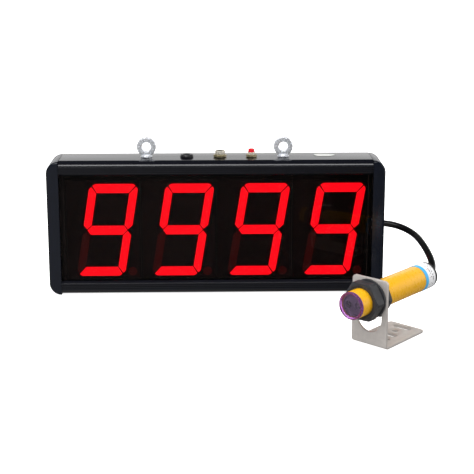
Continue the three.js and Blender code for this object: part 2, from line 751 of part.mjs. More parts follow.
add('sensor_lens', turnedY([
  [0, SENSOR_FRONT + 0.9],
  [LENS_RIM[0], SENSOR_FRONT + 0.9],
  [LENS_RIM[1], SENSOR_FRONT],
  [LENS_RIM[2], SENSOR_FRONT],
  [SENSOR_RADIUS, SENSOR_FRONT + 0.5],
  [SENSOR_RADIUS, BARREL_FRONT - GAP],
  [0, BARREL_FRONT - GAP],
], 36), LENS_PURPLE, sensor);

const INSERT_FRONT = BARREL_FRONT + 0.6;
add('sensor_insert', cut(
  barY(SENSOR_BORE - GAP, INSERT_FRONT, INSERT_FRONT + 8, 0, 0, 28),
  barY(OPTIC[0], INSERT_FRONT - 1, INSERT_FRONT + 4, -OPTIC[1], 0, 16),
  barY(OPTIC[0], INSERT_FRONT - 1, INSERT_FRONT + 4, OPTIC[1], 0, 16),
), CHIP, sensor);

add('sensor_board', box(11, 50, 1.2, 0, 15, 0), BOARD, sensor);

const nutBore = SENSOR_RADIUS + GAP;
const washerFront = -GAP - WASHER[1];
add('front_washer', turnedY(ringPoints(nutBore, WASHER[0], washerFront, -GAP), 32), BLACK_PLASTIC, sensor);
add('front_nut', hexNut(NUT_FLATS, nutBore, FRONT_NUT_THICK, 32)
  .rotateX(-Math.PI / 2)
  .translate(0, washerFront - GAP - FRONT_NUT_THICK, 0), BLACK_PLASTIC, sensor);
add('rear_nut', hexNut(NUT_FLATS, nutBore, REAR_NUT_THICK, 32)
  .rotateX(-Math.PI / 2)
  .translate(0, BRACKET_THICK + GAP, 0), BLACK_PLASTIC, sensor);

add('sensor_label_sleeve', turnedY(
  ringPoints(SEAT_RADIUS + GAP, SENSOR_RADIUS + 0.15, ...SLEEVE_RANGE), 36,
), WHITE_FILM, sensor);

const CAP_SCREW_PLACE = [5.4, 2.4]; // sensitivity screw; the indicator mirrors it
const GLAND = [3.2, SENSOR_REAR - 3.7, SENSOR_REAR + 2];
const rearCapBlank = turnedY([
  [0, SENSOR_REAR - 7],
  [SENSOR_BORE - GAP, SENSOR_REAR - 7],
  [SENSOR_BORE - GAP, BARREL_REAR + GAP],
  [SENSOR_RADIUS, BARREL_REAR + GAP],
  [SENSOR_RADIUS, SENSOR_REAR - 0.6],
  [SENSOR_RADIUS - 0.6, SENSOR_REAR],
  [0, SENSOR_REAR],
], 36);
add('sensor_rear_cap', cut(
  rearCapBlank,
  barY(GLAND[0] + GAP, GLAND[1] - GAP, SENSOR_REAR + 1, 0, 0, 24),
  barY(1.6, SENSOR_REAR - 2.2, SENSOR_REAR + 1, CAP_SCREW_PLACE[0], CAP_SCREW_PLACE[1], 16),
  barY(1.3, SENSOR_REAR - 2.2, SENSOR_REAR + 1, -CAP_SCREW_PLACE[0], CAP_SCREW_PLACE[1], 16),
), CHIP, sensor);
add('sensor_gland', turnedY([
  [0, GLAND[1]],
  [GLAND[0], GLAND[1]],
  [GLAND[0], SENSOR_REAR + 0.4],
  [LEAD_RADIUS + 0.2, GLAND[2]],
  [0, GLAND[2]],
], 24), BLACK_PLASTIC, sensor);
add('sensitivity_screw', cut(
  barY(1.3, SENSOR_REAR - 1.9, SENSOR_REAR + 0.2, ...CAP_SCREW_PLACE, 16),
  box(3, 1, 0.6, CAP_SCREW_PLACE[0], SENSOR_REAR + 0.2, CAP_SCREW_PLACE[1]),
), BRASS, sensor);
add('sensor_indicator', turnedY([
  [0, SENSOR_REAR - 1.9],
  [1, SENSOR_REAR - 1.9],
  [1, SENSOR_REAR],
  [0.6, SENSOR_REAR + 0.5],
  [0, SENSOR_REAR + 0.6],
], 16).translate(-CAP_SCREW_PLACE[0], 0, CAP_SCREW_PLACE[1]), AMBER, sensor);

// ---------------------------------------------------------------- sensor lead

const leadCurve = new THREE.CatmullRomCurve3(LEAD_ROUTE.map((p) => new THREE.Vector3(...p)));
const leadSection = new THREE.Shape();
leadSection.absarc(0, 0, LEAD_RADIUS, 0, 2 * Math.PI, false);
add('sensor_lead', new THREE.ExtrudeGeometry(leadSection, {
  steps: 26,
  curveSegments: 5,
  extrudePath: leadCurve,
}), LEAD_BLACK);

export default root;
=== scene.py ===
import json
import math

import bmesh
import bpy
from mathutils import Matrix, Vector

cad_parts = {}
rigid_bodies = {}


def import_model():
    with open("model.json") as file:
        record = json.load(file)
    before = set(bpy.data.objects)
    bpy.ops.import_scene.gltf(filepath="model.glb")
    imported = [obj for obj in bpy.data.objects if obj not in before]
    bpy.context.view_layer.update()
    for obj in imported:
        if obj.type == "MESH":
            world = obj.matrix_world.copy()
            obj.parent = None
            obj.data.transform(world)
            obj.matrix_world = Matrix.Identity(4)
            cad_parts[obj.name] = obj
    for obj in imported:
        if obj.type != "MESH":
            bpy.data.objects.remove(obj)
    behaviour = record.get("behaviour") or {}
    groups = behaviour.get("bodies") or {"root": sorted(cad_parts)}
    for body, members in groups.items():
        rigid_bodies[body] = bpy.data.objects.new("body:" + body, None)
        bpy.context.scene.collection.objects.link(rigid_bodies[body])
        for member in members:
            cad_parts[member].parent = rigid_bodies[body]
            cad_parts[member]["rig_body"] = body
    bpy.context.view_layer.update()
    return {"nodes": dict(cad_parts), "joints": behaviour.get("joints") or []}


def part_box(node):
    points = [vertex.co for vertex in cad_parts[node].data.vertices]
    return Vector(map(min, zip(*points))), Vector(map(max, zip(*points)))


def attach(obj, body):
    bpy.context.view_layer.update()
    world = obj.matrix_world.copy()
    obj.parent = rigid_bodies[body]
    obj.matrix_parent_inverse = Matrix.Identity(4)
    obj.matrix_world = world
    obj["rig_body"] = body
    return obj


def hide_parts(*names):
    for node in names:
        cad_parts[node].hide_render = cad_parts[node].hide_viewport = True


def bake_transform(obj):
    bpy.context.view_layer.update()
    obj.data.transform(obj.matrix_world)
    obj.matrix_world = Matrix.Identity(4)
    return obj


# Looks of a four-digit LED round timer and its photoelectric sensor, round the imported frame.
# Each piece is drawn in millimetres in a frame of its own, and placed in metres.

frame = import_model()

MM = 0.001
SCENE = bpy.context.scene


# ---- camera

CAMERA_PLACE = (-0.0034, -0.9008, 0.2962)
CAMERA_DOWN = 12.6  # degrees below level
CAMERA_TURN = -1.29
CAMERA_LENS = 86.65
CAMERA_SHIFT = -0.13


def make_camera():
    data = bpy.data.cameras.new("camera")
    data.lens = CAMERA_LENS
    data.shift_y = CAMERA_SHIFT
    data.clip_start = 0.01
    camera = bpy.data.objects.new("camera", data)
    camera.location = CAMERA_PLACE
    camera.rotation_euler = (math.radians(90 - CAMERA_DOWN), 0, math.radians(CAMERA_TURN))
    SCENE.collection.objects.link(camera)
    SCENE.camera = camera


make_camera()


# ---- places taken from the frame

def corners(node):
    """Lowest and highest corner of a CAD node, in millimetres."""
    low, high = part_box(node)
    return low / MM, high / MM


def middle(node):
    low, high = corners(node)
    return (low + high) / 2


rail_low, rail_high = corners("top_rail")
RAIL_END = rail_high.x
HEIGHT = rail_high.z
FRONT = rail_low.y
BACK = rail_high.y
CAP_END = corners("right_end_cap")[1].x
CAP_START = corners("right_end_cap")[0].x
FITTING_Y = middle("power_jack").y

joints = {joint["name"]: joint for joint in frame["joints"]}
front_turn = joints["front_nut_turn"]
SENSOR_AXIS = Vector(front_turn["axis"]).normalized()
NUT_PIVOT = 7.0  # the front nut's pivot stands this far before the bracket's front face
SENSOR_ORIGIN = Vector(front_turn["pos_m"]) + SENSOR_AXIS * NUT_PIVOT * MM
SENSOR_SIDE = SENSOR_AXIS.cross(Vector((0, 0, 1)))


def place_at(x, y, z):
    """A place in the display's frame, from millimetres."""
    return Matrix.Translation(Vector((x, y, z)) * MM)


def place_axes(x_axis, y_axis, z_axis, origin):
    rotation = Matrix((x_axis, y_axis, z_axis)).transposed().to_4x4()
    return Matrix.Translation(origin) @ rotation


def shift(x=0.0, y=0.0, z=0.0):
    """A move of a shape that is still in millimetres."""
    return Matrix.Translation((x, y, z))


def spin(degrees, axis):
    return Matrix.Rotation(math.radians(degrees), 4, axis)


AT_ORIGIN = Matrix.Identity(4)
# Along the sensor: +Y runs back down the barrel from the bracket's front face.
ON_SENSOR = place_axes(SENSOR_SIDE, SENSOR_AXIS, Vector((0, 0, 1)), SENSOR_ORIGIN)
# Takes a plate drawn in (x, y) with its thickness along z, and stands it up in (x, z).
UPRIGHT = spin(90, "X")


# ---- shape helpers, in millimetres

TINY = 1e-6
MERGE = 1e-3


def circle(radius, x=0.0, y=0.0, steps=32):
    turns = [2 * math.pi * i / steps for i in range(steps)]
    return [(x + radius * math.cos(turn), y + radius * math.sin(turn)) for turn in turns]


def rectangle(width, height):
    signs = ((-1, -1), (1, -1), (1, 1), (-1, 1))
    return [(i * width / 2, j * height / 2) for i, j in signs]


def corner_radius(flats):
    """From the middle of a hexagon to its corners."""
    return flats / 2 / math.cos(math.pi / 6)


def hexagon(flats):
    return circle(corner_radius(flats), steps=6)


def fillet(outline, radius=0.0, steps=6, closed=True):
    """The outline with its corners rounded by radius, or by their own third value."""
    count = len(outline)
    points = [Vector(corner[:2]) for corner in outline]
    radii = [corner[2] if len(corner) > 2 else radius for corner in outline]
    if not closed:
        radii = [0, *radii[1:-1], 0]
    rounded = []
    for i, (corner, radius) in enumerate(zip(points, radii)):
        if radius <= 0:
            rounded.append(tuple(corner))
            continue
        before = (points[i - 1] - corner).normalized()
        after = (points[(i + 1) % count] - corner).normalized()
        half = before.angle(after) / 2
        centre = corner + (before + after).normalized() * radius / math.sin(half)
        start = corner + before * radius / math.tan(half) - centre
        end = corner + after * radius / math.tan(half) - centre
        turn = math.atan2(start.x * end.y - start.y * end.x, start.dot(end))
        for step in range(steps + 1):
            angle = turn * step / steps
            spun = Matrix.Rotation(angle, 2) @ start
            rounded.append(tuple(centre + spun))
    return rounded


def obround(half_width, half_length, x=0.0, y=0.0, steps=12):
    """A slot with round ends, long in x."""
    reach = half_length - half_width
    loop = []
    for side in (1, -1):
        for step in range(steps + 1):
            angle = math.pi * (step / steps - 0.5)
            offset = half_width * math.cos(angle), half_width * math.sin(angle)
            loop.append((x + side * (reach + offset[0]), y + side * offset[1]))
    return loop


def lathe(profile, steps=64, axis="Y"):
    """Turns (radius, height) points round the axis. It starts and ends on the axis or closes."""
    shape = bmesh.new()
    rings = []
    for radius, height in profile:
        count = 1 if radius < TINY else steps
        ring = []
        for i in range(count):
            turn = 2 * math.pi * i / steps
            across = radius * math.cos(turn), radius * math.sin(turn)
            at = (across[0], height, across[1]) if axis == "Y" else (*across, height)
            ring.append(shape.verts.new(at))
        rings.append(ring)
    for low, high in zip(rings, rings[1:]):
        for i in range(steps):
            j = i + 1
            face = [low[i % len(low)], low[j % len(low)], high[j % len(high)], high[i % len(high)]]
            face = list(dict.fromkeys(face))
            if len(face) > 2:
                shape.faces.new(face)
    return clean(shape)


def clean(shape):
    bmesh.ops.remove_doubles(shape, verts=shape.verts, dist=MERGE)
    bmesh.ops.recalc_face_normals(shape, faces=shape.faces)
    return shape


def to_object(shape, name="shape"):
    mesh = bpy.data.meshes.new(name)
    shape.to_mesh(mesh)
    shape.free()
    made = bpy.data.objects.new(name, mesh)
    SCENE.collection.objects.link(made)
    return made


def to_shape(holder, *others):
    """The evaluated mesh of a working object, which goes away with the others."""
    depsgraph = bpy.context.evaluated_depsgraph_get()
    mesh = bpy.data.meshes.new_from_object(holder.evaluated_get(depsgraph))
    shape = bmesh.new()
    shape.from_mesh(mesh)
    bpy.data.meshes.remove(mesh)
    for used in (holder, *others):
        bpy.data.objects.remove(used)
    return clean(shape)


def plate(outline, holes=(), depth=1.0, edge=0.0, steps=3):
    """A plate in (x, y) with rounded edges, its thickness centred on z = 0."""
    curve = bpy.data.curves.new("outline", "CURVE")
    curve.dimensions = "2D"
    curve.fill_mode = "BOTH"
    curve.extrude = depth / 2 - edge
    curve.bevel_depth = edge
    curve.bevel_resolution = steps
    curve.offset = -edge
    for loop in (outline, *holes):
        spline = curve.splines.new("POLY")
        spline.points.add(len(loop) - 1)
        spline.use_cyclic_u = True
        for point, (x, y) in zip(spline.points, loop):
            point.co = (x, y, 0, 1)
    holder = bpy.data.objects.new("outline", curve)
    SCENE.collection.objects.link(holder)
    return to_shape(holder)


def combine(base, tools, operation="DIFFERENCE"):
    holder = to_object(base)
    others = [to_object(tool) for tool in tools]
    for other in others:
        modifier = holder.modifiers.new("combine", "BOOLEAN")
        modifier.operation = operation
        modifier.solver = "EXACT"
        modifier.object = other
    return to_shape(holder, *others)


def turned(profile, steps=5, sides=96, axis="Y"):
    """A lathed piece from a profile of (radius, height) or (radius, height, rounding)."""
    return lathe(fillet(profile, 0, steps, closed=False), sides, axis)


def bar(radius, low, high, axis="Y", steps=32):
    return lathe([(0, low), (radius, low), (radius, high), (0, high)], steps, axis)


def block(size, centre):
    shape = bmesh.new()
    bmesh.ops.create_cube(shape, size=1)
    bmesh.ops.scale(shape, vec=size, verts=shape.verts)
    bmesh.ops.translate(shape, vec=centre, verts=shape.verts)
    return shape


def moved(shape, matrix):
    shape.transform(matrix)
    return shape


def merged(shapes):
    """Several separate solids in one mesh."""
    whole = bmesh.new()
    for shape in shapes:
        mesh = bpy.data.meshes.new("part")
        shape.to_mesh(mesh)
        shape.free()
        whole.from_mesh(mesh)
        bpy.data.meshes.remove(mesh)
    return whole


def ridges(radius, low, high, pitch, depth):
    """Profile points of a thread's crests and roots, from low to high."""
    count = round((high - low) / pitch)
    points = []
    for i in range(count):
        start = low + i * (high - low) / count
        step = (high - low) / count
        points += [(radius - depth, start + 0.1 * step), (radius, start + 0.4 * step)]
        points += [(radius, start + 0.6 * step), (radius - depth, start + 0.9 * step)]
    return points


SHARP_ANGLE = 34


def make(name, shape, place, body, finish, stands_for=(), sharp=SHARP_ANGLE):
    """Turns a shape in millimetres into a piece that rides on a body."""
    clean(shape)
    bmesh.ops.scale(shape, vec=(MM, MM, MM), verts=shape.verts)
    for face in shape.faces:
        face.smooth = True
    for edge in shape.edges:
        if len(edge.link_faces) == 2 and edge.calc_face_angle() > math.radians(sharp):
            edge.smooth = False
    piece = to_object(shape, name)
    piece.data.materials.append(finish)
    piece.matrix_world = place
    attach(piece, body)
    if stands_for:
        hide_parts(*stands_for)
    return piece


def fixed(name, shape, place, finish, node):
    """A piece that doesn't move, in place of one CAD node."""
    return make(name, shape, place, "housing", finish, [node])


# ---- material helpers

# Most of a noise texture's values lie between these.
NOISE_LOW = 0.3
NOISE_HIGH = 0.7


class Nodes:
    """A node tree, and short ways to add to it."""

    def __init__(self, owner):
        owner.use_nodes = True
        self.tree = owner.node_tree

    def node(self, kind, **settings):
        made = self.tree.nodes.new("ShaderNode" + kind)
        for setting, value in settings.items():
            setattr(made, setting, value)
        return made

    def link(self, output, node_input):
        self.tree.links.new(output, node_input)

    def math(self, operation, first, second=None):
        node = self.node("Math", operation=operation)
        for value, node_input in zip((first, second), node.inputs):
            if isinstance(value, (int, float)):
                node_input.default_value = value
            elif value is not None:
                self.link(value, node_input)
        return node.outputs["Value"]

    def graded(self, value, from_low, from_high, to_low, to_high, steps="LINEAR"):
        """The value, moved from one range to another."""
        grade = self.node("MapRange", interpolation_type=steps)
        limits = {"From Min": from_low, "From Max": from_high, "To Min": to_low, "To Max": to_high}
        for socket, limit in limits.items():
            grade.inputs[socket].default_value = limit
        self.link(value, grade.inputs["Value"])
        return grade.outputs["Result"]


class Surface(Nodes):
    """A node material about one Principled shader, in the piece's own coordinates."""

    def __init__(self, name, **sockets):
        self.material = bpy.data.materials.new(name)
        super().__init__(self.material)
        self.shader = self.tree.nodes["Principled BSDF"]
        for socket, value in sockets.items():
            self.shader.inputs[socket.replace("_", " ")].default_value = value
        self.coordinates = self.node("TexCoord").outputs["Object"]

    def noise(self, size_mm, detail=3.0, stretch=(1, 1, 1)):
        """Noise from 0 to 1 with features of about size_mm, longer where stretch is over 1."""
        mapping = self.node("Mapping")
        mapping.inputs["Scale"].default_value = [1 / length for length in stretch]
        self.link(self.coordinates, mapping.inputs["Vector"])
        noise = self.node("TexNoise")
        noise.inputs["Scale"].default_value = 1 / (size_mm * MM)
        noise.inputs["Detail"].default_value = detail
        self.link(mapping.outputs["Vector"], noise.inputs["Vector"])
        return noise.outputs["Fac"]

    def ramp(self, value, stops):
        """Colours over the value: stops are (position, colour)."""
        ramp = self.node("ValToRGB")
        elements = ramp.color_ramp.elements
        while len(elements) < len(stops):
            elements.new(0.5)
        for element, (position, colour) in zip(elements, stops):
            element.position = position
            element.color = (*colour, 1)
        self.link(value, ramp.inputs["Fac"])
        return ramp.outputs["Color"]

    def mix(self, factor, first, second):
        """The first colour where factor is 0, the second where it is 1."""
        node = self.node("Mix", data_type="RGBA")
        factor_input, first_input, second_input = node.inputs[0], node.inputs[6], node.inputs[7]
        for value, node_input in ((factor, factor_input), (first, first_input), (second, second_input)):
            if isinstance(value, tuple):
                node_input.default_value = (*value, 1)
            else:
                self.link(value, node_input)
        return node.outputs[2]

    def colour(self, output):
        self.link(output, self.shader.inputs["Base Color"])

    def mottle(self, colour, amount, size_mm):
        """Base colour that drifts lighter and darker by amount."""
        dark = tuple(c * (1 - amount) for c in colour)
        light = tuple(min(1.0, c * (1 + amount)) for c in colour)
        self.colour(self.ramp(self.noise(size_mm, 4), [(NOISE_LOW, dark), (NOISE_HIGH, light)]))

    def roughness(self, low, high, size_mm, stretch=(1, 1, 1)):
        rough = self.graded(self.noise(size_mm, 4, stretch), NOISE_LOW, NOISE_HIGH, low, high)
        self.link(rough, self.shader.inputs["Roughness"])

    def bump(self, height, depth_mm, strength=1.0):
        bump = self.node("Bump")
        bump.inputs["Strength"].default_value = strength
        bump.inputs["Distance"].default_value = depth_mm * MM
        self.link(height, bump.inputs["Height"])
        self.link(bump.outputs["Normal"], self.shader.inputs["Normal"])


# ---- materials

def anodised(name):
    """Black anodised extrusion: faint die lines along its length and a satin grain."""
    skin = Surface(name)
    stretch = (60, 1, 1)
    skin.mottle((0.0042, 0.0045, 0.0078), 0.12, 9)
    skin.roughness(0.13, 0.19, 1.6, stretch)
    skin.bump(skin.noise(0.35, 2, stretch), 0.0015, 0.4)
    return skin.material


def drifting(name, colour, drift, gloss, grain, **sockets):
    """One colour that drifts by (amount, size), with uneven gloss and a fine grain.

    The gloss is (low, high, size) and the grain (size, detail, depth, strength), sizes in millimetres.
    """
    skin = Surface(name, **sockets)
    skin.mottle(colour, *drift)
    if gloss:
        skin.roughness(*gloss)
    size, detail, depth, strength = grain
    skin.bump(skin.noise(size, detail), depth, strength)
    return skin.material


def moulded(name, colour, rough, grain=0.01):
    """Moulded plastic with a fine spark grain."""
    return drifting(name, colour, (0.14, 6), (rough - 0.05, rough + 0.07, 2.5), (0.3, 2, grain, 0.5))


def plated(name, colour, rough, wear_colour, metal):
    """Bright plating over metal, with dull patches."""
    skin = Surface(name, Metallic=metal)
    patches = skin.noise(3, 3)
    skin.colour(skin.ramp(patches, [(0.35, wear_colour), (0.6, colour)]))
    skin.roughness(rough * 0.85, rough * 1.2, 2)
    skin.bump(skin.noise(1.2, 2), 0.002, 0.3)
    return skin.material


LIT_RED = (1.0, 0.0025, 0.013)


def lit_resin():
    """Diffusing resin with its lamps on: even, with a slight fall between the lamps."""
    skin = Surface("lit_resin", Emission_Strength=7.5, Roughness=0.5)
    skin.mottle((0.5, 0.01, 0.015), 0.1, 4)
    glow = skin.noise(7, 1)
    dim = tuple(0.9 * c for c in LIT_RED)
    lamps = skin.ramp(glow, [(NOISE_LOW, dim), (NOISE_HIGH, LIT_RED)])
    skin.link(lamps, skin.shader.inputs["Emission Color"])
    return skin.material


def satin_steel():
    """Blanked and bent stainless sheet, satin, with faint drawn lines and handling marks."""
    skin = Surface("bracket_steel", Metallic=0.45)
    lines = (1, 40, 40)
    skin.mottle((0.67, 0.625, 0.59), 0.06, 4)
    skin.roughness(0.3, 0.48, 0.5, lines)
    marks = skin.math("MULTIPLY", skin.noise(0.5, 4), 0.7)
    skin.bump(skin.math("ADD", skin.noise(0.16, 2, lines), marks), 0.01, 0.35)
    return skin.material


def violet(name, colour, rough, clear):
    """Polished violet filter plastic with a slight drift in its tint."""
    return drifting(name, colour, (0.1, 3), None, (2, 2, 0.002, 0.3), Transmission_Weight=clear, IOR=1.45,
                    Roughness=rough)


def printed_sleeve(front, back):
    """White film: a pale blue band at the front, rows of meaningless ticks and a grey rear edge."""
    band_wide = 3.2
    edge_wide = 0.7
    row_pitch = 2.1
    row_share = 0.42  # of the pitch that is inked
    tick_rate = 11.0  # noise cells in each radian round the barrel
    row_jump = 3.7  # noise cells from one row to the next, so that no two rows are alike
    inked_over = 0.57
    after_band = 0.9  # clear film behind the band
    before_rear = 0.6  # and before the rear edge
    skin = Surface("white_film", Coat_Weight=0.15, Coat_Roughness=0.2)
    split = skin.node("SeparateXYZ")
    skin.link(skin.coordinates, split.inputs["Vector"])
    along = skin.math("DIVIDE", split.outputs["Y"], MM)
    round_angle = skin.math("ARCTAN2", split.outputs["X"], split.outputs["Z"])
    place = skin.node("CombineXYZ")
    skin.link(skin.math("MULTIPLY", round_angle, tick_rate), place.inputs["X"])
    row = skin.math("FLOOR", skin.math("DIVIDE", along, row_pitch))
    skin.link(skin.math("MULTIPLY", row, row_jump), place.inputs["Y"])
    ticks = skin.node("TexNoise")
    ticks.inputs["Scale"].default_value = 1.0
    ticks.inputs["Detail"].default_value = 1.0
    skin.link(place.outputs["Vector"], ticks.inputs["Vector"])
    inked = skin.math("GREATER_THAN", ticks.outputs["Fac"], inked_over)
    in_row = skin.math("LESS_THAN", skin.math("FRACT", skin.math("DIVIDE", along, row_pitch)), row_share)
    past_band = skin.math("GREATER_THAN", along, front + band_wide + after_band)
    before_edge = skin.math("LESS_THAN", along, back - edge_wide - before_rear)
    printed = skin.math("MULTIPLY", inked, in_row)
    for limit in (past_band, before_edge):
        printed = skin.math("MULTIPLY", printed, limit)
    paper = skin.ramp(skin.noise(5, 3), [(NOISE_LOW, (0.78, 0.78, 0.8)), (NOISE_HIGH, (0.88, 0.88, 0.88))])
    tint = skin.ramp(skin.noise(5, 1), [(0.52, (0.04, 0.04, 0.05)), (0.6, (0.42, 0.05, 0.06))])
    colour = skin.mix(printed, paper, tint)
    in_band = skin.math("LESS_THAN", along, front + band_wide)
    colour = skin.mix(in_band, colour, (0.07, 0.45, 0.83))
    at_edge = skin.math("GREATER_THAN", along, back - edge_wide)
    skin.colour(skin.mix(at_edge, colour, (0.3, 0.3, 0.31)))
    skin.roughness(0.3, 0.42, 2)
    skin.bump(skin.noise(1.5, 3), 0.008, 0.3)
    return skin.material


def solder_mask():
    """Green board with pale copper tracks under the mask."""
    skin = Surface("circuit_board", Coat_Weight=0.3, Coat_Roughness=0.2)
    tracks = skin.node("TexBrick")
    settings = {
        "Scale": 90,
        "Mortar Size": 0.012,
        "Color1": (0.012, 0.075, 0.03, 1),
        "Color2": (0.016, 0.09, 0.035, 1),
        "Mortar": (0.05, 0.19, 0.08, 1),
    }
    for socket, value in settings.items():
        tracks.inputs[socket].default_value = value
    skin.link(skin.coordinates, tracks.inputs["Vector"])
    skin.colour(tracks.outputs["Color"])
    skin.roughness(0.35, 0.5, 2)
    skin.bump(tracks.outputs["Fac"], 0.02, 0.4)
    return skin.material


def gloss(name, colour, rough, glow=0.0):
    """Small glossy moulding."""
    return drifting(name, colour, (0.08, 1.5), (rough * 0.8, rough * 1.3, 0.9), (0.6, 2, 0.005, 0.3),
                    Coat_Weight=0.3, Coat_Roughness=0.08, Emission_Color=(*colour, 1),
                    Emission_Strength=glow)


SLEEVE_LOW, SLEEVE_HIGH = 58.6, 71.4  # the label sleeve along the sensor's axis

RAIL_FINISH = anodised("anodised_aluminium")
PANEL_FINISH = anodised("anodised_panel")
CAP_FINISH = moulded("moulded_black", (0.0025, 0.0042, 0.0105), 0.2, 0.003)
ZINC = plated("plated_steel", (0.93, 0.95, 1.0), 0.26, (0.8, 0.83, 0.88), 0.7)
NICKEL = plated("nickel", (0.9, 0.86, 0.74), 0.26, (0.76, 0.7, 0.58), 0.6)
BRASS = plated("brass", (0.56, 0.49, 0.3), 0.32, (0.34, 0.3, 0.17), 0.75)
# Polished dark acrylic, faintly mottled in its tint.
WINDOW_FINISH = drifting("smoked_window", (0.16, 0.11, 0.1), (0.03, 30), None, (14, 1, 0.002, 0.2),
                         IOR=1.18, Transmission_Weight=1.0, Roughness=0.0)
# Dark reflector plate of a digit, seen through the window.
DIGIT_BASE = drifting("digit_face", (0.05, 0.022, 0.018), (0.2, 5), (0.5, 0.65, 3), (0.4, 2, 0.01, 0.4),
                      Specular_IOR_Level=0.2)
LIT = lit_resin()
# The digits' resin with its lamps off, with a faint painted red glow that stands for the light its lit
# neighbours spill into it.
UNLIT = drifting("unlit_resin", (0.2, 0.02, 0.018), (0.15, 4), None, (0.5, 2, 0.01, 0.4), Roughness=0.5,
                 Specular_IOR_Level=0.3, Emission_Color=(1.0, 0.05, 0.045, 1), Emission_Strength=0.08)
HOUSING_BLACK = moulded("digit_housing", (0.012, 0.01, 0.01), 0.5)
CHIP_BLACK = moulded("chip_black", (0.015, 0.015, 0.017), 0.45)
BOARD = solder_mask()
JACK_BLACK = moulded("jack_black", (0.012, 0.012, 0.014), 0.3)
RED = gloss("red_plastic", (0.75, 0.008, 0.018), 0.22)
# Plain white sticker with a dusty, slightly uneven face.
FILM = drifting("label_film", (0.6, 0.61, 0.58), (0.08, 2.5), (0.45, 0.6, 1.5), (1.4, 3, 0.02, 0.5))
STEEL_SHEET = satin_steel()
# Thick moulded ABS: slightly deeper in patches, with a faint orange peel.
YELLOW = drifting("yellow_plastic", (0.85, 0.435, 0.01), (0.025, 11), (0.24, 0.34, 3),
                  (2.2, 2, 0.004, 0.3), Coat_Weight=0.2, Coat_Roughness=0.12)
LENS = violet("purple_lens", (0.45, 0.35, 0.5), 0.02, 0.97)
RIM = violet("violet_rim", (0.48, 0.19, 0.56), 0.12, 0.85)
SLEEVE = printed_sleeve(SLEEVE_LOW, SLEEVE_HIGH)
# Charcoal glass-filled nylon, a little greyer where it was handled.
NUT_BLACK = drifting("nut_plastic", (0.03, 0.031, 0.035), (0.22, 3.5), (0.32, 0.48, 1.6),
                     (0.35, 3, 0.012, 0.5))
HOLDER_GREY = moulded("optics_grey", (0.2, 0.18, 0.21), 0.4)
AMBER = gloss("amber_lens", (0.8, 0.22, 0.02), 0.15, 0.15)
# Extruded black jacket, faintly uneven in tone and gloss.
JACKET = drifting("lead_jacket", (0.0025, 0.0025, 0.0028), (0.3, 7), (0.26, 0.36, 3), (0.8, 3, 0.012, 0.4))


# ---- sensor lead

LEAD_RADIUS = 2.6
LEAD_EXIT = (136.6, 0, 54)
LEAD_ROUTE = [
    LEAD_EXIT,
    (141.6, -0.4, 53.5), (146.6, -1.9, 52.7), (151.1, -4.9, 51.8), (154.8, -9.2, 50.9),
    (157.6, -14.6, 50.1), (159.8, -21, 49.3), (161.4, -28.6, 48.3), (162.7, -36.8, 46.9),
    (163.8, -44.8, 45.2), (164.6, -52.2, 43.3), (165.1, -58.6, 41.4), (165.2, -64, 39.6),
    (164.8, -68, 38.2), (163.9, -71.9, 36.9), (162.3, -75.7, 35.9), (159.9, -79, 35.5),
]
LEAD_TUCK = 1.6  # how far the lead runs on into the grommet and the gland


def smooth_path(points, steps):
    """A Catmull-Rom curve through the points."""
    points = [Vector(point) for point in points]
    padded = [2 * points[0] - points[1], *points, 2 * points[-1] - points[-2]]
    path = []
    for a, b, c, d in zip(padded, padded[1:], padded[2:], padded[3:]):
        for step in range(steps):
            t = step / steps
            cubic = (3 * b - a - 3 * c + d) * t**3
            square = (2 * a - 5 * b + 4 * c - d) * t**2
            path.append((2 * b + (c - a) * t + square + cubic) / 2)
    path.append(points[-1])
    return path


def tube(path, radius, sides):
    """A round tube whose rings turn with the path and don't twist."""
    shape = bmesh.new()
    normal = Vector((0, 0, 1))
    rings = []
    for i, point in enumerate(path):
        ahead = path[min(i + 1, len(path) - 1)] - path[max(i - 1, 0)]
        tangent = ahead.normalized()
        normal = (normal - tangent * normal.dot(tangent)).normalized()
        across = tangent.cross(normal)
        ring = []
        for x, y in circle(radius, steps=sides):
            ring.append(shape.verts.new(point + normal * x + across * y))
        rings.append(ring)
    for low, high in zip(rings, rings[1:]):
        for i in range(sides):
            j = (i + 1) % sides
            shape.faces.new((low[i], low[j], high[j], high[i]))
    shape.faces.new(reversed(rings[0]))
    shape.faces.new(rings[-1])
    return clean(shape)


def make_lead():
    back_out = Vector((-LEAD_TUCK, 0, 0))
    onward = (Vector(LEAD_ROUTE[-1]) - Vector(LEAD_ROUTE[-2])).normalized() * LEAD_TUCK
    route = [Vector(LEAD_EXIT) + back_out, *LEAD_ROUTE, Vector(LEAD_ROUTE[-1]) + onward]
    path = smooth_path(route, 6)
    jacket = tube(path, LEAD_RADIUS, 28)
    lead = fixed("lead_jacket", jacket, AT_ORIGIN, JACKET, "sensor_lead")
    world = lead.matrix_world.copy()
    lead.parent = None
    lead.matrix_world = world
    del lead["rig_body"]
    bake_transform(lead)


make_lead()


# ---- housing rails

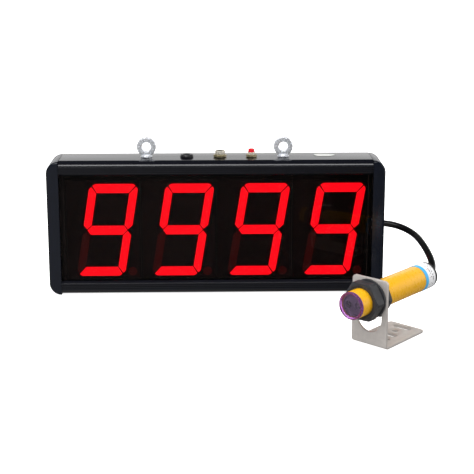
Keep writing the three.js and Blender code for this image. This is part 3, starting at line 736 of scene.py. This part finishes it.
SHOULDER_DROP = 3.5
SHOULDER_BACK = 7
SHOULDER_RADIUS = 6
BEZEL = 11.6  # how far the front of a rail reaches in from its outer face
RAIL_WALL = 2.5
WINDOW_LIP = 0.7  # thickness of the lip behind the window
WINDOW_LIP_SHORT = 0.4  # and how much shorter it is than the bezel
PANEL_LIP = 0.8  # thickness of the lip before the rear panel
SLOT_DEPTH = 4.6  # of the window's slot, in from the bezel's edge
PANEL_SLOT_DEPTH = 7.6
LIP_SHORT = 2  # how much shorter the rear lip is than the bezel
BACK_ROUND = 1.1
GROOVES = (5.5, 7, 8.5)
GROOVE_WIDTH = 0.6
GROOVE_DEPTH = 0.45
BOSS_PLACES = (-7, 9.5)
BOSS_HALF = 3.5
BOSS_DROP = 5.8
BOSS_BORE = 1.8
WINDOW_Y = middle("front_window").y
WINDOW_THICK = 2
PANEL_Y = middle("rear_panel").y
PANEL_THICK = 1.5
SLOT_GAP = 0.3
# Radius of the hole under each fitting.
TOP_HOLES = {"eye_bolt_left": 2.8, "eye_bolt_right": 2.8, "power_jack": 3.7, "trigger_socket": 3.4,
             "button_bush": 3.5}


def rail_outline():
    """Section in (y, drop), where drop is measured in from the rail's outer face."""
    flat = FRONT + SHOULDER_BACK
    shoulder = math.acos(1 - SHOULDER_DROP / SHOULDER_RADIUS)
    window_front, window_back = (WINDOW_Y + side * (WINDOW_THICK / 2 + SLOT_GAP) for side in (-1, 1))
    panel_front, panel_back = (PANEL_Y + side * (PANEL_THICK / 2 + SLOT_GAP) for side in (-1, 1))
    slot_top = BEZEL - SLOT_DEPTH
    panel_top = BEZEL - PANEL_SLOT_DEPTH
    lip = BEZEL - LIP_SHORT
    back_corner = fillet([(BACK, 4), (BACK, 0), (flat, 0)], BACK_ROUND, 5, closed=False)
    outline = back_corner[1:]
    steps = 20
    for i in range(1, steps + 1):
        turn = shoulder * i / steps
        drop = SHOULDER_RADIUS * (1 - math.cos(turn))
        outline.append((flat - SHOULDER_RADIUS * math.sin(turn), drop))
    edge = [outline[-1], (FRONT, SHOULDER_DROP + 0.25), (FRONT, 5)]
    outline += fillet(edge, 0.3, 4, closed=False)[1:-1]
    for groove in GROOVES:
        outline += [(FRONT, groove - GROOVE_WIDTH / 2), (FRONT + GROOVE_DEPTH, groove - 0.1)]
        outline += [(FRONT + GROOVE_DEPTH, groove + 0.1), (FRONT, groove + GROOVE_WIDTH / 2)]
    chamfer = [(FRONT, 9), (FRONT, BEZEL - 1.9, 0.35), (window_front - 0.3, BEZEL, 0.2),
               (window_front, BEZEL)]
    outline += fillet(chamfer, 0, 3, closed=False)[1:]
    window_lip = BEZEL - WINDOW_LIP_SHORT
    lip_back = window_back + WINDOW_LIP
    outline += [(window_front, slot_top), (window_back, slot_top), (window_back, window_lip)]
    outline += [(lip_back, window_lip), (lip_back, RAIL_WALL)]
    for y in BOSS_PLACES:
        outline += [(y - BOSS_HALF, RAIL_WALL), (y - BOSS_HALF, BOSS_DROP + BOSS_HALF)]
        outline += [(y + BOSS_HALF, BOSS_DROP + BOSS_HALF), (y + BOSS_HALF, RAIL_WALL)]
    lip_front = panel_front - PANEL_LIP
    outline += [(lip_front, RAIL_WALL), (lip_front, lip), (panel_front, lip)]
    outline += [(panel_front, panel_top), (panel_back, panel_top), (panel_back, lip)]
    outline += fillet([(panel_back, lip), (BACK, lip), (BACK, 4)], 0.3, 3, closed=False)[1:-1]
    return outline


def rail():
    """A bottom rail: the section's y stays y, its drop becomes z, and its length lies along x."""
    holes = [circle(BOSS_BORE, y, BOSS_DROP, 16) for y in BOSS_PLACES]
    along_x = Matrix(((0, 0, 1, 0), (1, 0, 0, 0), (0, 1, 0, 0), (0, 0, 0, 1)))
    return moved(plate(rail_outline(), holes, 2 * RAIL_END), along_x)


def make_rails():
    fixed("bottom_rail_shell", rail(), AT_ORIGIN, RAIL_FINISH, "bottom_rail")
    turned_over = Matrix.Diagonal((-1, 1, -1, 1))
    top = moved(moved(rail(), turned_over), shift(z=HEIGHT))
    holes = []
    for node, radius in TOP_HOLES.items():
        hole = bar(radius, HEIGHT - RAIL_WALL - 1, HEIGHT + 1, "Z")
        holes.append(moved(hole, shift(middle(node).x, FITTING_Y)))
    fixed("top_rail_shell", combine(clean(top), holes), AT_ORIGIN, RAIL_FINISH,
          "top_rail")


# ---- end caps, screws and grommet

CAP_EDGE = 1.9  # rounding round a cap's outer face
CAP_POCKET = 6.4
CAP_WALL = 3.2
SCREW_SEAT = 5.4
SCREW_HEAD = 2.7
SCREW_HEAD_THICK = 1.8
SCREW_HOLE = 1.8
SCREW_HEIGHTS = (BOSS_DROP, HEIGHT - BOSS_DROP)
LEAD_Z = LEAD_EXIT[2]
GROMMET_RADIUS = 4


def end_cap(side):
    """The right cap with its inner face at x = 0; the left one is its mirror image."""
    wide = CAP_END - CAP_START
    overlap = 2 * CAP_EDGE
    outline = fillet([(-overlap, 0), (wide, 0, wide), (wide, HEIGHT, wide), (-overlap, HEIGHT)], 0, 16)
    cap = moved(plate(outline, depth=BACK - FRONT, edge=CAP_EDGE, steps=5), UPRIGHT)
    whole = cap.verts[:] + cap.edges[:] + cap.faces[:]
    bmesh.ops.bisect_plane(cap, geom=whole, plane_co=(0, 0, 0), plane_no=(1, 0, 0), clear_inner=True)
    bmesh.ops.holes_fill(cap, edges=[edge for edge in cap.edges if edge.is_boundary])
    tools = [block((2 * CAP_POCKET, BACK - FRONT - 2 * CAP_WALL, HEIGHT - 2 * wide), (0, 0, HEIGHT / 2))]
    lying = spin(90, "Y")
    seat = SCREW_HEAD + 0.3
    recess = [(0, -1), (SCREW_HOLE, -1), (SCREW_HOLE, SCREW_SEAT), (seat, SCREW_SEAT), (seat, wide + 1),
              (0, wide + 1)]
    for y in BOSS_PLACES:
        for z in SCREW_HEIGHTS:
            tools.append(moved(lathe(recess, 32, "Z"), shift(0, y, z) @ lying))
    if side > 0:
        tools.append(moved(bar(GROMMET_RADIUS + 0.3, 1, wide + 1, "Z"), shift(z=LEAD_Z) @ lying))
    cap = combine(clean(cap), tools)
    return cap if side > 0 else moved(cap, Matrix.Diagonal((-1, 1, 1, 1)))


def cap_screw():
    """A pan-head screw with a cross recess; the underside of its head is at z = 0."""
    head = fillet([(0, 0), (SCREW_HEAD, 0, 0.15), (SCREW_HEAD, SCREW_HEAD_THICK, 1.1),
                   (0, SCREW_HEAD_THICK)], 0, 6, closed=False)
    shank = ridges(1.5, -14.6, -0.6, 0.9, 0.28)
    profile = [(0, -15), (1.1, -15), *shank, (1.3, 0), *head[1:]]
    screw = lathe(profile, 40, "Z")
    cross = []
    for turn in (0, 90):
        blade = block((3.1, 0.75, 2), (0, 0, SCREW_HEAD_THICK))
        cross.append(moved(blade, spin(turn, "Z")))
    return combine(screw, cross)


def make_caps():
    for name, side in (("left", -1), ("right", 1)):
        fixed(f"{name}_end_cap_shell", end_cap(side), place_at(side * CAP_START, 0, 0),
              CAP_FINISH, f"{name}_end_cap")
        outward = spin(side * 90, "Y")
        seats = [(y, z) for y in BOSS_PLACES for z in SCREW_HEIGHTS]
        for number, (y, z) in enumerate(seats, 1):
            seat = place_at(side * (CAP_START + SCREW_SEAT + 0.05), y, z)
            driven = spin(25 + 40 * number, "Z")
            fixed(f"{name}_cap_screw_{number}", cap_screw(), seat @ outward @ driven, ZINC,
                  f"end_screw_{name}_{number}")


def make_grommet():
    wide = CAP_END - CAP_START
    bore = LEAD_RADIUS + 0.15
    lip = GROMMET_RADIUS + 0.9
    top = wide + 1.2
    flange = fillet([(GROMMET_RADIUS, wide + 0.2), (lip, wide + 0.2, 0.15), (lip - 0.1, top, 0.5),
                     (bore, top)], 0, 5, closed=False)
    neck = ridges(GROMMET_RADIUS, 2.2, wide, 1.6, 0.25)
    grommet = lathe([(bore, 2), (GROMMET_RADIUS, 2), *neck, *flange, (bore, 2)], 48, "Z")
    place = place_at(CAP_START, 0, LEAD_Z) @ spin(90, "Y")
    fixed("lead_grommet_ring", grommet, place, JACK_BLACK, "lead_grommet")


# ---- window, rear panel and digits

def upright_plate(node):
    """A sheet with rounded edges that fills a CAD node's box."""
    low, high = corners(node)
    size = high - low
    return moved(plate(rectangle(size.x, size.z), depth=size.y, edge=0.25), UPRIGHT)


def make_sheets():
    fixed("smoked_window", upright_plate("front_window"), place_at(*middle("front_window")),
          WINDOW_FINISH, "front_window")
    fixed("rear_sheet", upright_plate("rear_panel"), place_at(*middle("rear_panel")),
          PANEL_FINISH, "rear_panel")


DIGIT_NUMBERS = range(1, 5)
DIGIT_HEIGHT = 76.2
DIGIT_WIDTH = 39
DIGIT_SLANT = math.tan(math.radians(9.3))
DIGIT_SHIFT = 3.5
BAR_HEIGHT = 7.4
BAR_WIDTH = 6.3
SEGMENT_GAP = 0.8
CORNER_CUT = 4
POINT_RADIUS = 3.6
POINT_X = 19.6
FACE_THICK = 1.2
SEGMENT_RISE = 0.5
SEGMENT_EDGE = 0.12


def segment_outlines():
    """The bars of an upright digit about its centre; a third value rounds its corner."""
    side = DIGIT_WIDTH / 2
    top = DIGIT_HEIGHT / 2
    half = BAR_HEIGHT / 2
    inner = side - BAR_WIDTH
    tip = side - BAR_WIDTH / 2
    cut = CORNER_CUT / 2
    gap = SEGMENT_GAP / 2
    outer = CORNER_CUT - 0.2
    level = [
        (-inner + gap, top - BAR_HEIGHT, 0.25),
        (inner - gap, top - BAR_HEIGHT, 0.25),
        (side - cut - gap, top - cut + gap, 0.4),
        (side - CORNER_CUT, top, outer),
        (CORNER_CUT - side, top, outer),
        (cut + gap - side, top - cut + gap, 0.4),
    ]
    centre = [
        (gap - tip, 0),
        (gap - inner, -half),
        (inner - gap, -half),
        (tip - gap, 0),
        (inner - gap, half),
        (gap - inner, half),
    ]
    upright = [
        (-side, half + gap, 1.1),
        (-tip, 2 * gap),
        (-inner, half + gap),
        (-inner, top - BAR_HEIGHT - gap, 0.25),
        (cut - side - gap, top - cut - gap, 0.4),
        (-side, top - CORNER_CUT, outer),
    ]
    return {"level": level, "centre": centre, "upright": upright}


# Each segment's outline and the signs that mirror it; the digit shows a nine.
LIT_SEGMENTS = (("level", 1, 1), ("level", 1, -1), ("centre", 1, 1), ("upright", 1, 1),
                ("upright", -1, 1), ("upright", -1, -1))
UNLIT_SEGMENTS = (("upright", 1, -1),)


def segment(kind, flip_x, flip_z):
    slanted = []
    for x, z in fillet(segment_outlines()[kind], 0.3, 5):
        slanted.append((DIGIT_SHIFT + flip_x * x + flip_z * z * DIGIT_SLANT, flip_z * z))
    return plate(slanted, depth=SEGMENT_RISE, edge=SEGMENT_EDGE, steps=1)


def make_digit(number):
    node = f"digit_face_{number}"
    low, high = corners(node)
    size = high - low
    x, _, z = (low + high) / 2
    front = high.y - FACE_THICK
    base = plate(fillet(rectangle(size.x, size.z), 1, 6), depth=FACE_THICK, edge=0.25)
    fixed(f"digit_plate_{number}", moved(base, UPRIGHT), place_at(x, high.y - FACE_THICK / 2, z),
          DIGIT_BASE, node)
    on_face = place_at(x, front - SEGMENT_RISE / 2 - 0.02, z)
    bars = merged([segment(*one) for one in LIT_SEGMENTS])
    make(f"lit_bars_{number}", moved(bars, UPRIGHT), on_face, "housing", LIT)
    point = plate(circle(POINT_RADIUS, DIGIT_SHIFT + POINT_X, POINT_RADIUS - DIGIT_HEIGHT / 2, 48),
                  depth=SEGMENT_RISE, edge=SEGMENT_EDGE, steps=1)
    dark = merged([segment(*one) for one in UNLIT_SEGMENTS] + [point])
    make(f"unlit_bars_{number}", moved(dark, UPRIGHT), on_face, "housing", UNLIT)


# ---- eye bolts

def on_top(node):
    """Where the axis of a fitting meets the top face."""
    return place_at(middle(node).x, FITTING_Y, HEIGHT)


EYE_CENTRE = 8.6
EYE_OUTER = 7.7
EYE_HOLE = 3.7
EYE_THICK = 3.6
EYE_ROUND = 0.9
EYE_NECK = 4.0  # half width where the forging meets its collar
EYE_NECK_Z = 1.7


def touching_angle(radius, centre_z, x, z):
    """The angle at which a line from (x, z) touches the right side of a circle about (0, centre_z)."""
    reach = Vector((x, z - centre_z))
    return math.atan2(reach.y, reach.x) + math.acos(radius / reach.length)


def eye_bolt():
    """A forged eye: a teardrop drawn to a collar and a round flange, on a threaded shank."""
    touch = touching_angle(EYE_OUTER, EYE_CENTRE, EYE_NECK, EYE_NECK_Z)
    steps = 48
    sweep = math.pi - 2 * touch
    outline = [(-EYE_NECK, EYE_NECK_Z - 1.6), (EYE_NECK, EYE_NECK_Z - 1.6), (EYE_NECK, EYE_NECK_Z)]
    for i in range(steps + 1):
        angle = touch + sweep * i / steps
        outline.append((EYE_OUTER * math.cos(angle), EYE_CENTRE + EYE_OUTER * math.sin(angle)))
    outline.append((-EYE_NECK, EYE_NECK_Z))
    hole = circle(EYE_HOLE, 0, EYE_CENTRE, 48)
    eye = moved(plate(outline, [hole], EYE_THICK, EYE_ROUND, steps=6), UPRIGHT)
    collar = fillet([(0, 0.1), (4.7, 0.1, 0.2), (4.7, 0.9, 0.3), (4.1, 1.4, 0.5), (3.7, 2.4, 0.6),
                     (0, 2.8)], 0, 6, closed=False)
    shank = [(0, -8.5), (2.0, -8.5), *ridges(2.5, -8.2, -0.2, 0.8, 0.3), (2.3, 0.1)]
    foot = lathe(shank + collar[1:], 56, "Z")
    return combine(eye, [foot], "UNION")


def make_eye_bolts():
    for node in ("eye_bolt_left", "eye_bolt_right"):
        side = node.split("_")[-1]
        make(f"forged_eye_{side}", eye_bolt(), on_top(node), node, ZINC, [node], 40)


# ---- fittings on the top

SMALL_NUT_THICK = 1.9
NUT_LIFT = 0.15  # clear of the top face


def hex_nut(flats, bore, thick, corner=0.5, bearing=0.94, dish=0.0):
    """A hexagon nut from z = 0 up, its corners turned down to the flats at both faces.

    A dish is a shallow recess of that width round the bore at both faces.
    """
    body = moved(plate(fillet(hexagon(flats), corner, 4), depth=thick), shift(z=thick / 2))
    across = corner_radius(flats)
    face = flats / 2 * bearing
    slope = (across - face) * 0.55
    ring = [(face, 0), (across, slope), (across, thick - slope), (face, thick)]
    sunk = dish * 0.4
    rim = bore + dish
    if dish:
        ring += [(rim + 0.2, thick), (rim, thick - sunk), (bore, thick - sunk), (bore, sunk), (rim, sunk),
                 (rim + 0.2, 0)]
    else:
        ring += [(bore, thick), (bore, 0)]
    ring.append(ring[0])
    return combine(body, [lathe(ring, 96, "Z")], "INTERSECT")


def make_small_nut(name, flats, bore, turn, place, node):
    lifted = place @ place_at(0, 0, NUT_LIFT) @ spin(turn, "Z")
    fixed(name, hex_nut(flats, bore, SMALL_NUT_THICK), lifted, BRASS, node)


def make_jack():
    place = on_top("power_jack")
    rim = fillet([(3.4, 0.1), (5.3, 0.1, 0.15), (5.3, 1.3, 0.35), (4.6, 2.3, 0.5), (2.9, 2.3, 0.25),
                  (2.9, -8)], 0, 5, closed=False)
    profile = [(0, -12), (3.1, -12), *ridges(3.4, -11.8, -0.2, 0.8, 0.25), *rim, (0, -8)]
    fixed("power_jack_body", lathe(profile, 64, "Z"), place, JACK_BLACK, "power_jack")
    pin = turned([(0, -7.7), (1.05, -7.7), (1.05, 1.5, 0.5), (0, 1.5)], 6, 32, "Z")
    fixed("power_jack_contact", pin, place, NICKEL, "power_jack_pin")


def make_socket():
    place = on_top("trigger_socket")
    top = corners("trigger_socket")[1].z - HEIGHT
    lip = fillet([(3.1, 2.4), (4, 2.4, 0.2), (4, top, 0.3), (3.3, top, 0.2), (3.3, 1.2), (2.2, 1.2)],
                 0, 5, closed=False)
    profile = [(2.2, -9), (4.2, -9), (4.2, -2.8), (2.8, -2.8), *ridges(3.1, -2.6, 2.2, 0.6, 0.22)]
    profile += [*lip, (2.2, -9)]
    fixed("trigger_socket_shell", lathe(profile, 64, "Z"), place, NICKEL, "trigger_socket")
    make_small_nut("trigger_socket_hex", 9.6, 3.4, 11, place, "trigger_socket_nut")
    core = top - 0.5
    sleeve = turned([(1.5, -8.6), (1.9, -8.6), (1.9, 1.6), (2.9, 1.6, 0.1), (2.9, core, 0.4),
                     (1.5, core, 0.25), (1.5, -8.6)], 4, 48, "Z")
    fixed("trigger_socket_core", sleeve, place, JACK_BLACK, "trigger_socket_insulator")
    tip = top - 1.8
    contact = [(0, -10), (1.2, -10), (1.2, tip - 0.2), (1.05, tip), (0.7, tip), (0.7, -2), (0, -2)]
    fixed("trigger_socket_pin", lathe(contact, 32, "Z"), place, BRASS, "trigger_socket_contact")


def make_button():
    place = on_top("button_bush")
    top = corners("button_cap")[1].z - HEIGHT
    collar = fillet([(3.2, 3), (3.1, 4, 0.2), (2.8, 4, 0.12), (2.8, -1), (1.6, -1)], 0, 4, closed=False)
    bush = [(1.6, -12), (4.2, -12), (4.2, -2.8), (3.0, -2.8), *ridges(3.2, -2.6, 2.9, 0.6, 0.2)]
    bush += [*collar, (1.6, -12)]
    fixed("button_sleeve", lathe(bush, 64, "Z"), place, NICKEL, "button_bush")
    make_small_nut("button_hex", 8.2, 3.5, -17, place, "button_nut")
    plunger = turned([(0, -8), (1.2, -8), (1.2, 0.8), (2.5, 0.8, 0.15), (2.5, top - 0.4, 0.7), (0, top)],
                     8, 48, "Z")
    make("button_plunger", plunger, place, "reset_button", RED, ["button_cap"])


def make_label():
    """A hand-cut sticker: no two of its corners are square."""
    low, high = corners("top_label")
    size = high - low
    shares = [(-0.66, -1), (0.55, -0.96), (1, -0.5), (0.9, 0.22), (-0.2, 0.38), (-1, 0.3), (-0.94, -0.4)]
    outline = [(across * size.x / 2, deep * size.y / 2) for across, deep in shares]
    sticker = plate(fillet(outline, 0.6, 5), depth=size.z, edge=0.06, steps=1)
    fixed("top_sticker", sticker, place_at(*middle("top_label")), FILM, "top_label")


# ---- sensor bracket

BRACKET_WIDTH = 30
BRACKET_HEIGHT = 50.5
BRACKET_LENGTH = 50
BRACKET_THICK = 2
BEND_OUTSIDE = 3.5
SENSOR_SLOT_HALF = 10.5
SENSOR_SLOT_HEIGHTS = (21.2, 35.7)
FOOT_SLOTS = (0.87, 0.5, 0.3)  # places along the foot, as shares of its length
FOOT_HOLE = 0.68


def bend_sheet(sheet):
    """Bends the flat blank: y runs down the upright, round the bend and back along the foot."""
    straight = BRACKET_HEIGHT - BEND_OUTSIDE
    middle_radius = BEND_OUTSIDE - BRACKET_THICK / 2
    arc = middle_radius * math.pi / 2
    steps = 10
    for i in range(steps + 1):
        whole = sheet.verts[:] + sheet.edges[:] + sheet.faces[:]
        at = straight + arc * i / steps
        bmesh.ops.bisect_plane(sheet, geom=whole, plane_co=(0, at, 0), plane_no=(0, 1, 0))
    for vertex in sheet.verts:
        along = vertex.co.y
        inward = vertex.co.z + BRACKET_THICK / 2
        if along <= straight:
            vertex.co.y, vertex.co.z = inward, BRACKET_HEIGHT - along
        elif along >= straight + arc:
            vertex.co.y, vertex.co.z = BEND_OUTSIDE + along - straight - arc, inward
        else:
            turn = (along - straight) / middle_radius
            radius = BEND_OUTSIDE - inward
            vertex.co.y = BEND_OUTSIDE - radius * math.cos(turn)
            vertex.co.z = BEND_OUTSIDE - radius * math.sin(turn)
    return sheet


def make_bracket():
    arc = (BEND_OUTSIDE - BRACKET_THICK / 2) * math.pi / 2
    blank_length = BRACKET_HEIGHT + BRACKET_LENGTH - 2 * BEND_OUTSIDE + arc
    half = BRACKET_WIDTH / 2
    blank = fillet([(-half, 0), (half, 0), (half, blank_length), (-half, blank_length)], 2.8, 8)
    foot_start = blank_length - BRACKET_LENGTH
    low, high = (BRACKET_HEIGHT - z for z in SENSOR_SLOT_HEIGHTS)
    slot_middle = (low + high) / 2
    slot = []
    for x, y in obround(SENSOR_SLOT_HALF, (low - high) / 2 + SENSOR_SLOT_HALF, steps=24):
        slot.append((y, slot_middle + x))
    holes = [slot]
    holes += [obround(2.2, 7.4, 0, foot_start + share * BRACKET_LENGTH) for share in FOOT_SLOTS]
    holes.append(circle(2.4, 0, foot_start + FOOT_HOLE * BRACKET_LENGTH))
    sheet = bend_sheet(plate(blank, holes, BRACKET_THICK, edge=0.32, steps=2))
    floor = SENSOR_ORIGIN.copy()
    floor.z = 0
    place = place_axes(SENSOR_SIDE, SENSOR_AXIS, Vector((0, 0, 1)), floor)
    make("bent_bracket", sheet, place, "housing", STEEL_SHEET, ["sensor_bracket"], 46)


# ---- photoelectric sensor

BARREL_RADIUS = 9.9
SENSOR_FRONT = -23
SENSOR_REAR = 74
BARREL_FRONT = SENSOR_FRONT + 2.5
BARREL_REAR = SENSOR_REAR - 2.2
BARREL_BORE = 8
SEAT_RADIUS = 9.4
GLASS_RADIUS = 8.25  # where the lens meets its rim
OPTIC_PLACE = 3.7  # of each window in the optics holder, off the axis
OPTIC_RADIUS = 2.6
NUT_FLATS = 26.4
WASHER_RADIUS = 14.4
TRIMMER_PLACE = (5.4, 0, 2.4)
LAMP_PLACE = (-5.4, 0, 2.4)
SENSOR_GAP = 0.3


def on_sensor(name, shape, finish, node, body="sensor"):
    make(name, shape, ON_SENSOR, body, finish, [node])


def make_barrel():
    seat_start = SLEEVE_LOW - SENSOR_GAP
    barrel = turned([(BARREL_BORE, BARREL_FRONT), (BARREL_RADIUS, BARREL_FRONT, 0.45),
                     (BARREL_RADIUS, seat_start, 0.25), (SEAT_RADIUS, seat_start),
                     (SEAT_RADIUS, BARREL_REAR, 0.1), (BARREL_BORE, BARREL_REAR),
                     (BARREL_BORE, BARREL_FRONT)])
    on_sensor("barrel_shell", barrel, YELLOW, "sensor_barrel")


def make_lens():
    """A dark polished glass held in a clear violet rim."""
    back = BARREL_FRONT - SENSOR_GAP
    glass = turned([(0, SENSOR_FRONT + 0.8), (GLASS_RADIUS, SENSOR_FRONT + 1.1, 0.2),
                    (GLASS_RADIUS, back), (0, back)])
    on_sensor("lens_glass", glass, LENS, "sensor_lens")
    step = SENSOR_FRONT + 0.5
    rim = turned([(GLASS_RADIUS, step), (GLASS_RADIUS + 0.45, SENSOR_FRONT, 0.3),
                  (BARREL_RADIUS, SENSOR_FRONT, 0.6), (BARREL_RADIUS, back, 0.15), (GLASS_RADIUS, back),
                  (GLASS_RADIUS, step)], 6)
    make("lens_rim", rim, ON_SENSOR, "sensor", RIM)


def make_insert():
    """The optics holder behind the lens, with its two round windows and the domes in them."""
    front = BARREL_FRONT + 0.6
    radius = BARREL_BORE - SENSOR_GAP
    back = front + 8
    holder = turned([(0, front + 0.6), (6.7, front + 0.6, 0.2), (6.9, front, 0.2), (radius, front, 0.2),
                     (radius, back), (0, back)], 4, 80)
    windows = []
    domes = []
    for x in (-OPTIC_PLACE, OPTIC_PLACE):
        windows.append(moved(bar(OPTIC_RADIUS, front - 1, front + 4), shift(x)))
        dome = turned([(0, front + 1.4), (2.3, front + 2.2, 1.2), (2.3, front + 3.8), (0, front + 3.8)],
                      8, 40)
        domes.append(moved(dome, shift(x)))
    on_sensor("optics_holder", combine(holder, windows), HOLDER_GREY, "sensor_insert")
    make("optics_domes", merged(domes), ON_SENSOR, "sensor", JACK_BLACK)


# Each nut's thickness and where it starts along the sensor's axis.
RING_NUTS = {"front": (9, -11.2), "rear": (5.5, 2.3)}


def make_nuts():
    bore = BARREL_RADIUS + SENSOR_GAP
    washer = turned([(bore, -1.9), (WASHER_RADIUS, -1.9, 0.4), (WASHER_RADIUS, -0.3, 0.3), (bore, -0.3),
                     (bore, -1.9)], 4)
    on_sensor("flat_washer", washer, NUT_BLACK, "front_washer")
    for name, (thick, start) in RING_NUTS.items():
        nut = hex_nut(NUT_FLATS, bore, thick, 1.6, 0.97, dish=1.3)
        nut = moved(nut, shift(y=start) @ spin(-90, "X"))
        on_sensor(f"{name}_ring_nut", nut, NUT_BLACK, f"{name}_nut", f"{name}_nut")


def make_sleeve():
    inner = SEAT_RADIUS + SENSOR_GAP
    outer = BARREL_RADIUS + 0.15
    wrap = turned([(inner, SLEEVE_LOW), (outer, SLEEVE_LOW, 0.12), (outer, SLEEVE_HIGH, 0.12),
                   (inner, SLEEVE_HIGH), (inner, SLEEVE_LOW)], 3)
    on_sensor("printed_wrap", wrap, SLEEVE, "sensor_label_sleeve")


def make_rear_cap():
    radius = BARREL_BORE - SENSOR_GAP
    shoulder = BARREL_REAR + SENSOR_GAP
    inside = SENSOR_REAR - 7
    plug = turned([(0, inside), (radius, inside), (radius, shoulder), (BARREL_RADIUS, shoulder, 0.15),
                   (BARREL_RADIUS, SENSOR_REAR, 0.7), (0, SENSOR_REAR)], 6)
    holes = [bar(3.5, SENSOR_REAR - 4, SENSOR_REAR + 1)]
    for place, hole in ((TRIMMER_PLACE, 1.6), (LAMP_PLACE, 1.3)):
        holes.append(moved(bar(hole, SENSOR_REAR - 2.2, SENSOR_REAR + 1), shift(*place)))
    on_sensor("rear_plug", combine(plug, holes), CHIP_BLACK, "sensor_rear_cap")


def make_strain_relief():
    inside = SENSOR_REAR - 3.7
    tip = SENSOR_REAR + 2
    relief = turned([(0, inside), (3.2, inside), (3.2, SENSOR_REAR + 0.2), (3.1, SENSOR_REAR + 0.9, 0.3),
                     (2.6, tip, 0.3), (0, tip)], 4, 48)
    on_sensor("strain_relief", relief, JACK_BLACK, "sensor_gland")


def make_trimmer_and_lamp():
    seat = SENSOR_REAR - 1.9
    top = SENSOR_REAR + 0.2
    trimmer = lathe([(0, seat), (1.3, seat), (1.3, SENSOR_REAR), (1.1, top), (0, top)], 32)
    slotted = combine(trimmer, [block((3, 1, 0.5), (0, top, 0))])
    on_sensor("trimmer_screw", moved(slotted, shift(*TRIMMER_PLACE)), BRASS, "sensitivity_screw",
              "sensitivity_screw")
    dome = SENSOR_REAR + 0.6
    lamp = turned([(0, seat), (1, seat), (1, dome, 0.7), (0, dome)], 8, 32)
    on_sensor("indicator_lamp", moved(lamp, shift(*LAMP_PLACE)), AMBER, "sensor_indicator")


# ---- finishes of the CAD nodes inside

INSIDE = (
    (BOARD, ["display_board", "radio_board", "sensor_board"]),
    (CHIP_BLACK, ["control_chip", "voltage_regulator"]),
    (JACK_BLACK, ["buzzer", "power_jack_nut"]),
    (ZINC, ["eye_bolt_nut_left", "eye_bolt_nut_right"]),
    (HOUSING_BLACK, [f"digit_module_{number}" for number in DIGIT_NUMBERS]),
)


def finish_inside():
    for finish, nodes in INSIDE:
        for node in nodes:
            materials = frame["nodes"][node].data.materials
            materials.clear()
            materials.append(finish)


# ---- floor, light and surroundings

FLOOR_RADIUS = 6  # metres, as everything in this section is
FLOOR_DROP = 0.0003
FLOOR_GLOW = 0.88


def make_floor():
    """A round pale floor that the surroundings light; it isn't seen in reflections."""
    shape = bmesh.new()
    bmesh.ops.create_circle(shape, cap_ends=True, radius=FLOOR_RADIUS, segments=96)
    paper = Surface("paper", Roughness=0.9, Specular_IOR_Level=0.0, Emission_Color=(1, 1, 1, 1),
                    Emission_Strength=FLOOR_GLOW)
    paper.mottle((0.93, 0.93, 0.93), 0.01, 90)
    floor = to_object(shape, "floor")
    floor.data.materials.append(paper.material)
    floor.location.z = -FLOOR_DROP
    floor.visible_glossy = False
    floor.visible_diffuse = False


def area_light(name, place, target, size, power, reflected=True):
    light = bpy.data.lights.new(name, "AREA")
    light.shape = "RECTANGLE"
    light.size, light.size_y = size
    light.energy = power
    holder = bpy.data.objects.new(name, light)
    holder.location = place
    holder.rotation_euler = (Vector(target) - Vector(place)).to_track_quat("-Z", "Y").to_euler()
    holder.visible_glossy = reflected
    SCENE.collection.objects.link(holder)


def make_lights():
    aim = (0.05, -0.05, 0.05)
    area_light("front_softbox", (-0.1, -0.75, 0.95), aim, (1.5, 0.32), 9)
    area_light("overhead", (0, 0.1, 1.5), aim, (1.2, 1.2), 12, reflected=False)
    area_light("left_fill", (-1.1, -0.6, 0.5), aim, (0.6, 0.8), 4, reflected=False)
    area_light("right_card", (1.2, -0.35, 0.3), aim, (0.25, 0.9), 3)


def make_world():
    """White low behind the object, dark overhead and dim in front, as a studio sweep is."""
    world = bpy.data.worlds.new("studio")
    SCENE.world = world
    sky = Nodes(world)
    background = sky.tree.nodes["Background"]

    def smooth(*grades):
        return sky.graded(*grades, steps="SMOOTHSTEP")

    split = sky.node("SeparateXYZ")
    sky.link(sky.node("TexCoord").outputs["Generated"], split.inputs["Vector"])
    rightward, ahead, height = split.outputs
    behind = smooth(ahead, -0.05, 0.45, 0, 1)
    low_down = smooth(height, 0.3, 0.55, 1, 0)
    over_floor = smooth(height, -0.15, 0, 0, 1)
    sweep = sky.math("MULTIPLY", behind, sky.math("MULTIPLY", low_down, over_floor))
    fall_off = smooth(rightward, -0.1, 0.2, 1, 0.4)
    room = sky.math("MULTIPLY", smooth(height, -0.1, 0.25, 0.34, 0.05), fall_off)
    level = sky.math("MAXIMUM", sweep, room)
    path = sky.node("LightPath")
    ambient = smooth(path.outputs["Is Diffuse Ray"], 0, 1, 0, 0.42)
    level = sky.math("MAXIMUM", sky.math("ADD", level, ambient), path.outputs["Is Camera Ray"])
    sky.link(level, background.inputs["Strength"])
    background.inputs["Color"].default_value = (1, 1, 1, 1)


# ---- everything

make_rails()
make_caps()
make_grommet()
make_sheets()
for digit_number in DIGIT_NUMBERS:
    make_digit(digit_number)
make_eye_bolts()
make_jack()
make_socket()
make_button()
make_label()
make_bracket()
make_barrel()
make_lens()
make_insert()
make_nuts()
make_sleeve()
make_rear_cap()
make_strain_relief()
make_trimmer_and_lamp()
finish_inside()
make_floor()
make_lights()
make_world()
SCENE.view_settings.view_transform = "Standard"
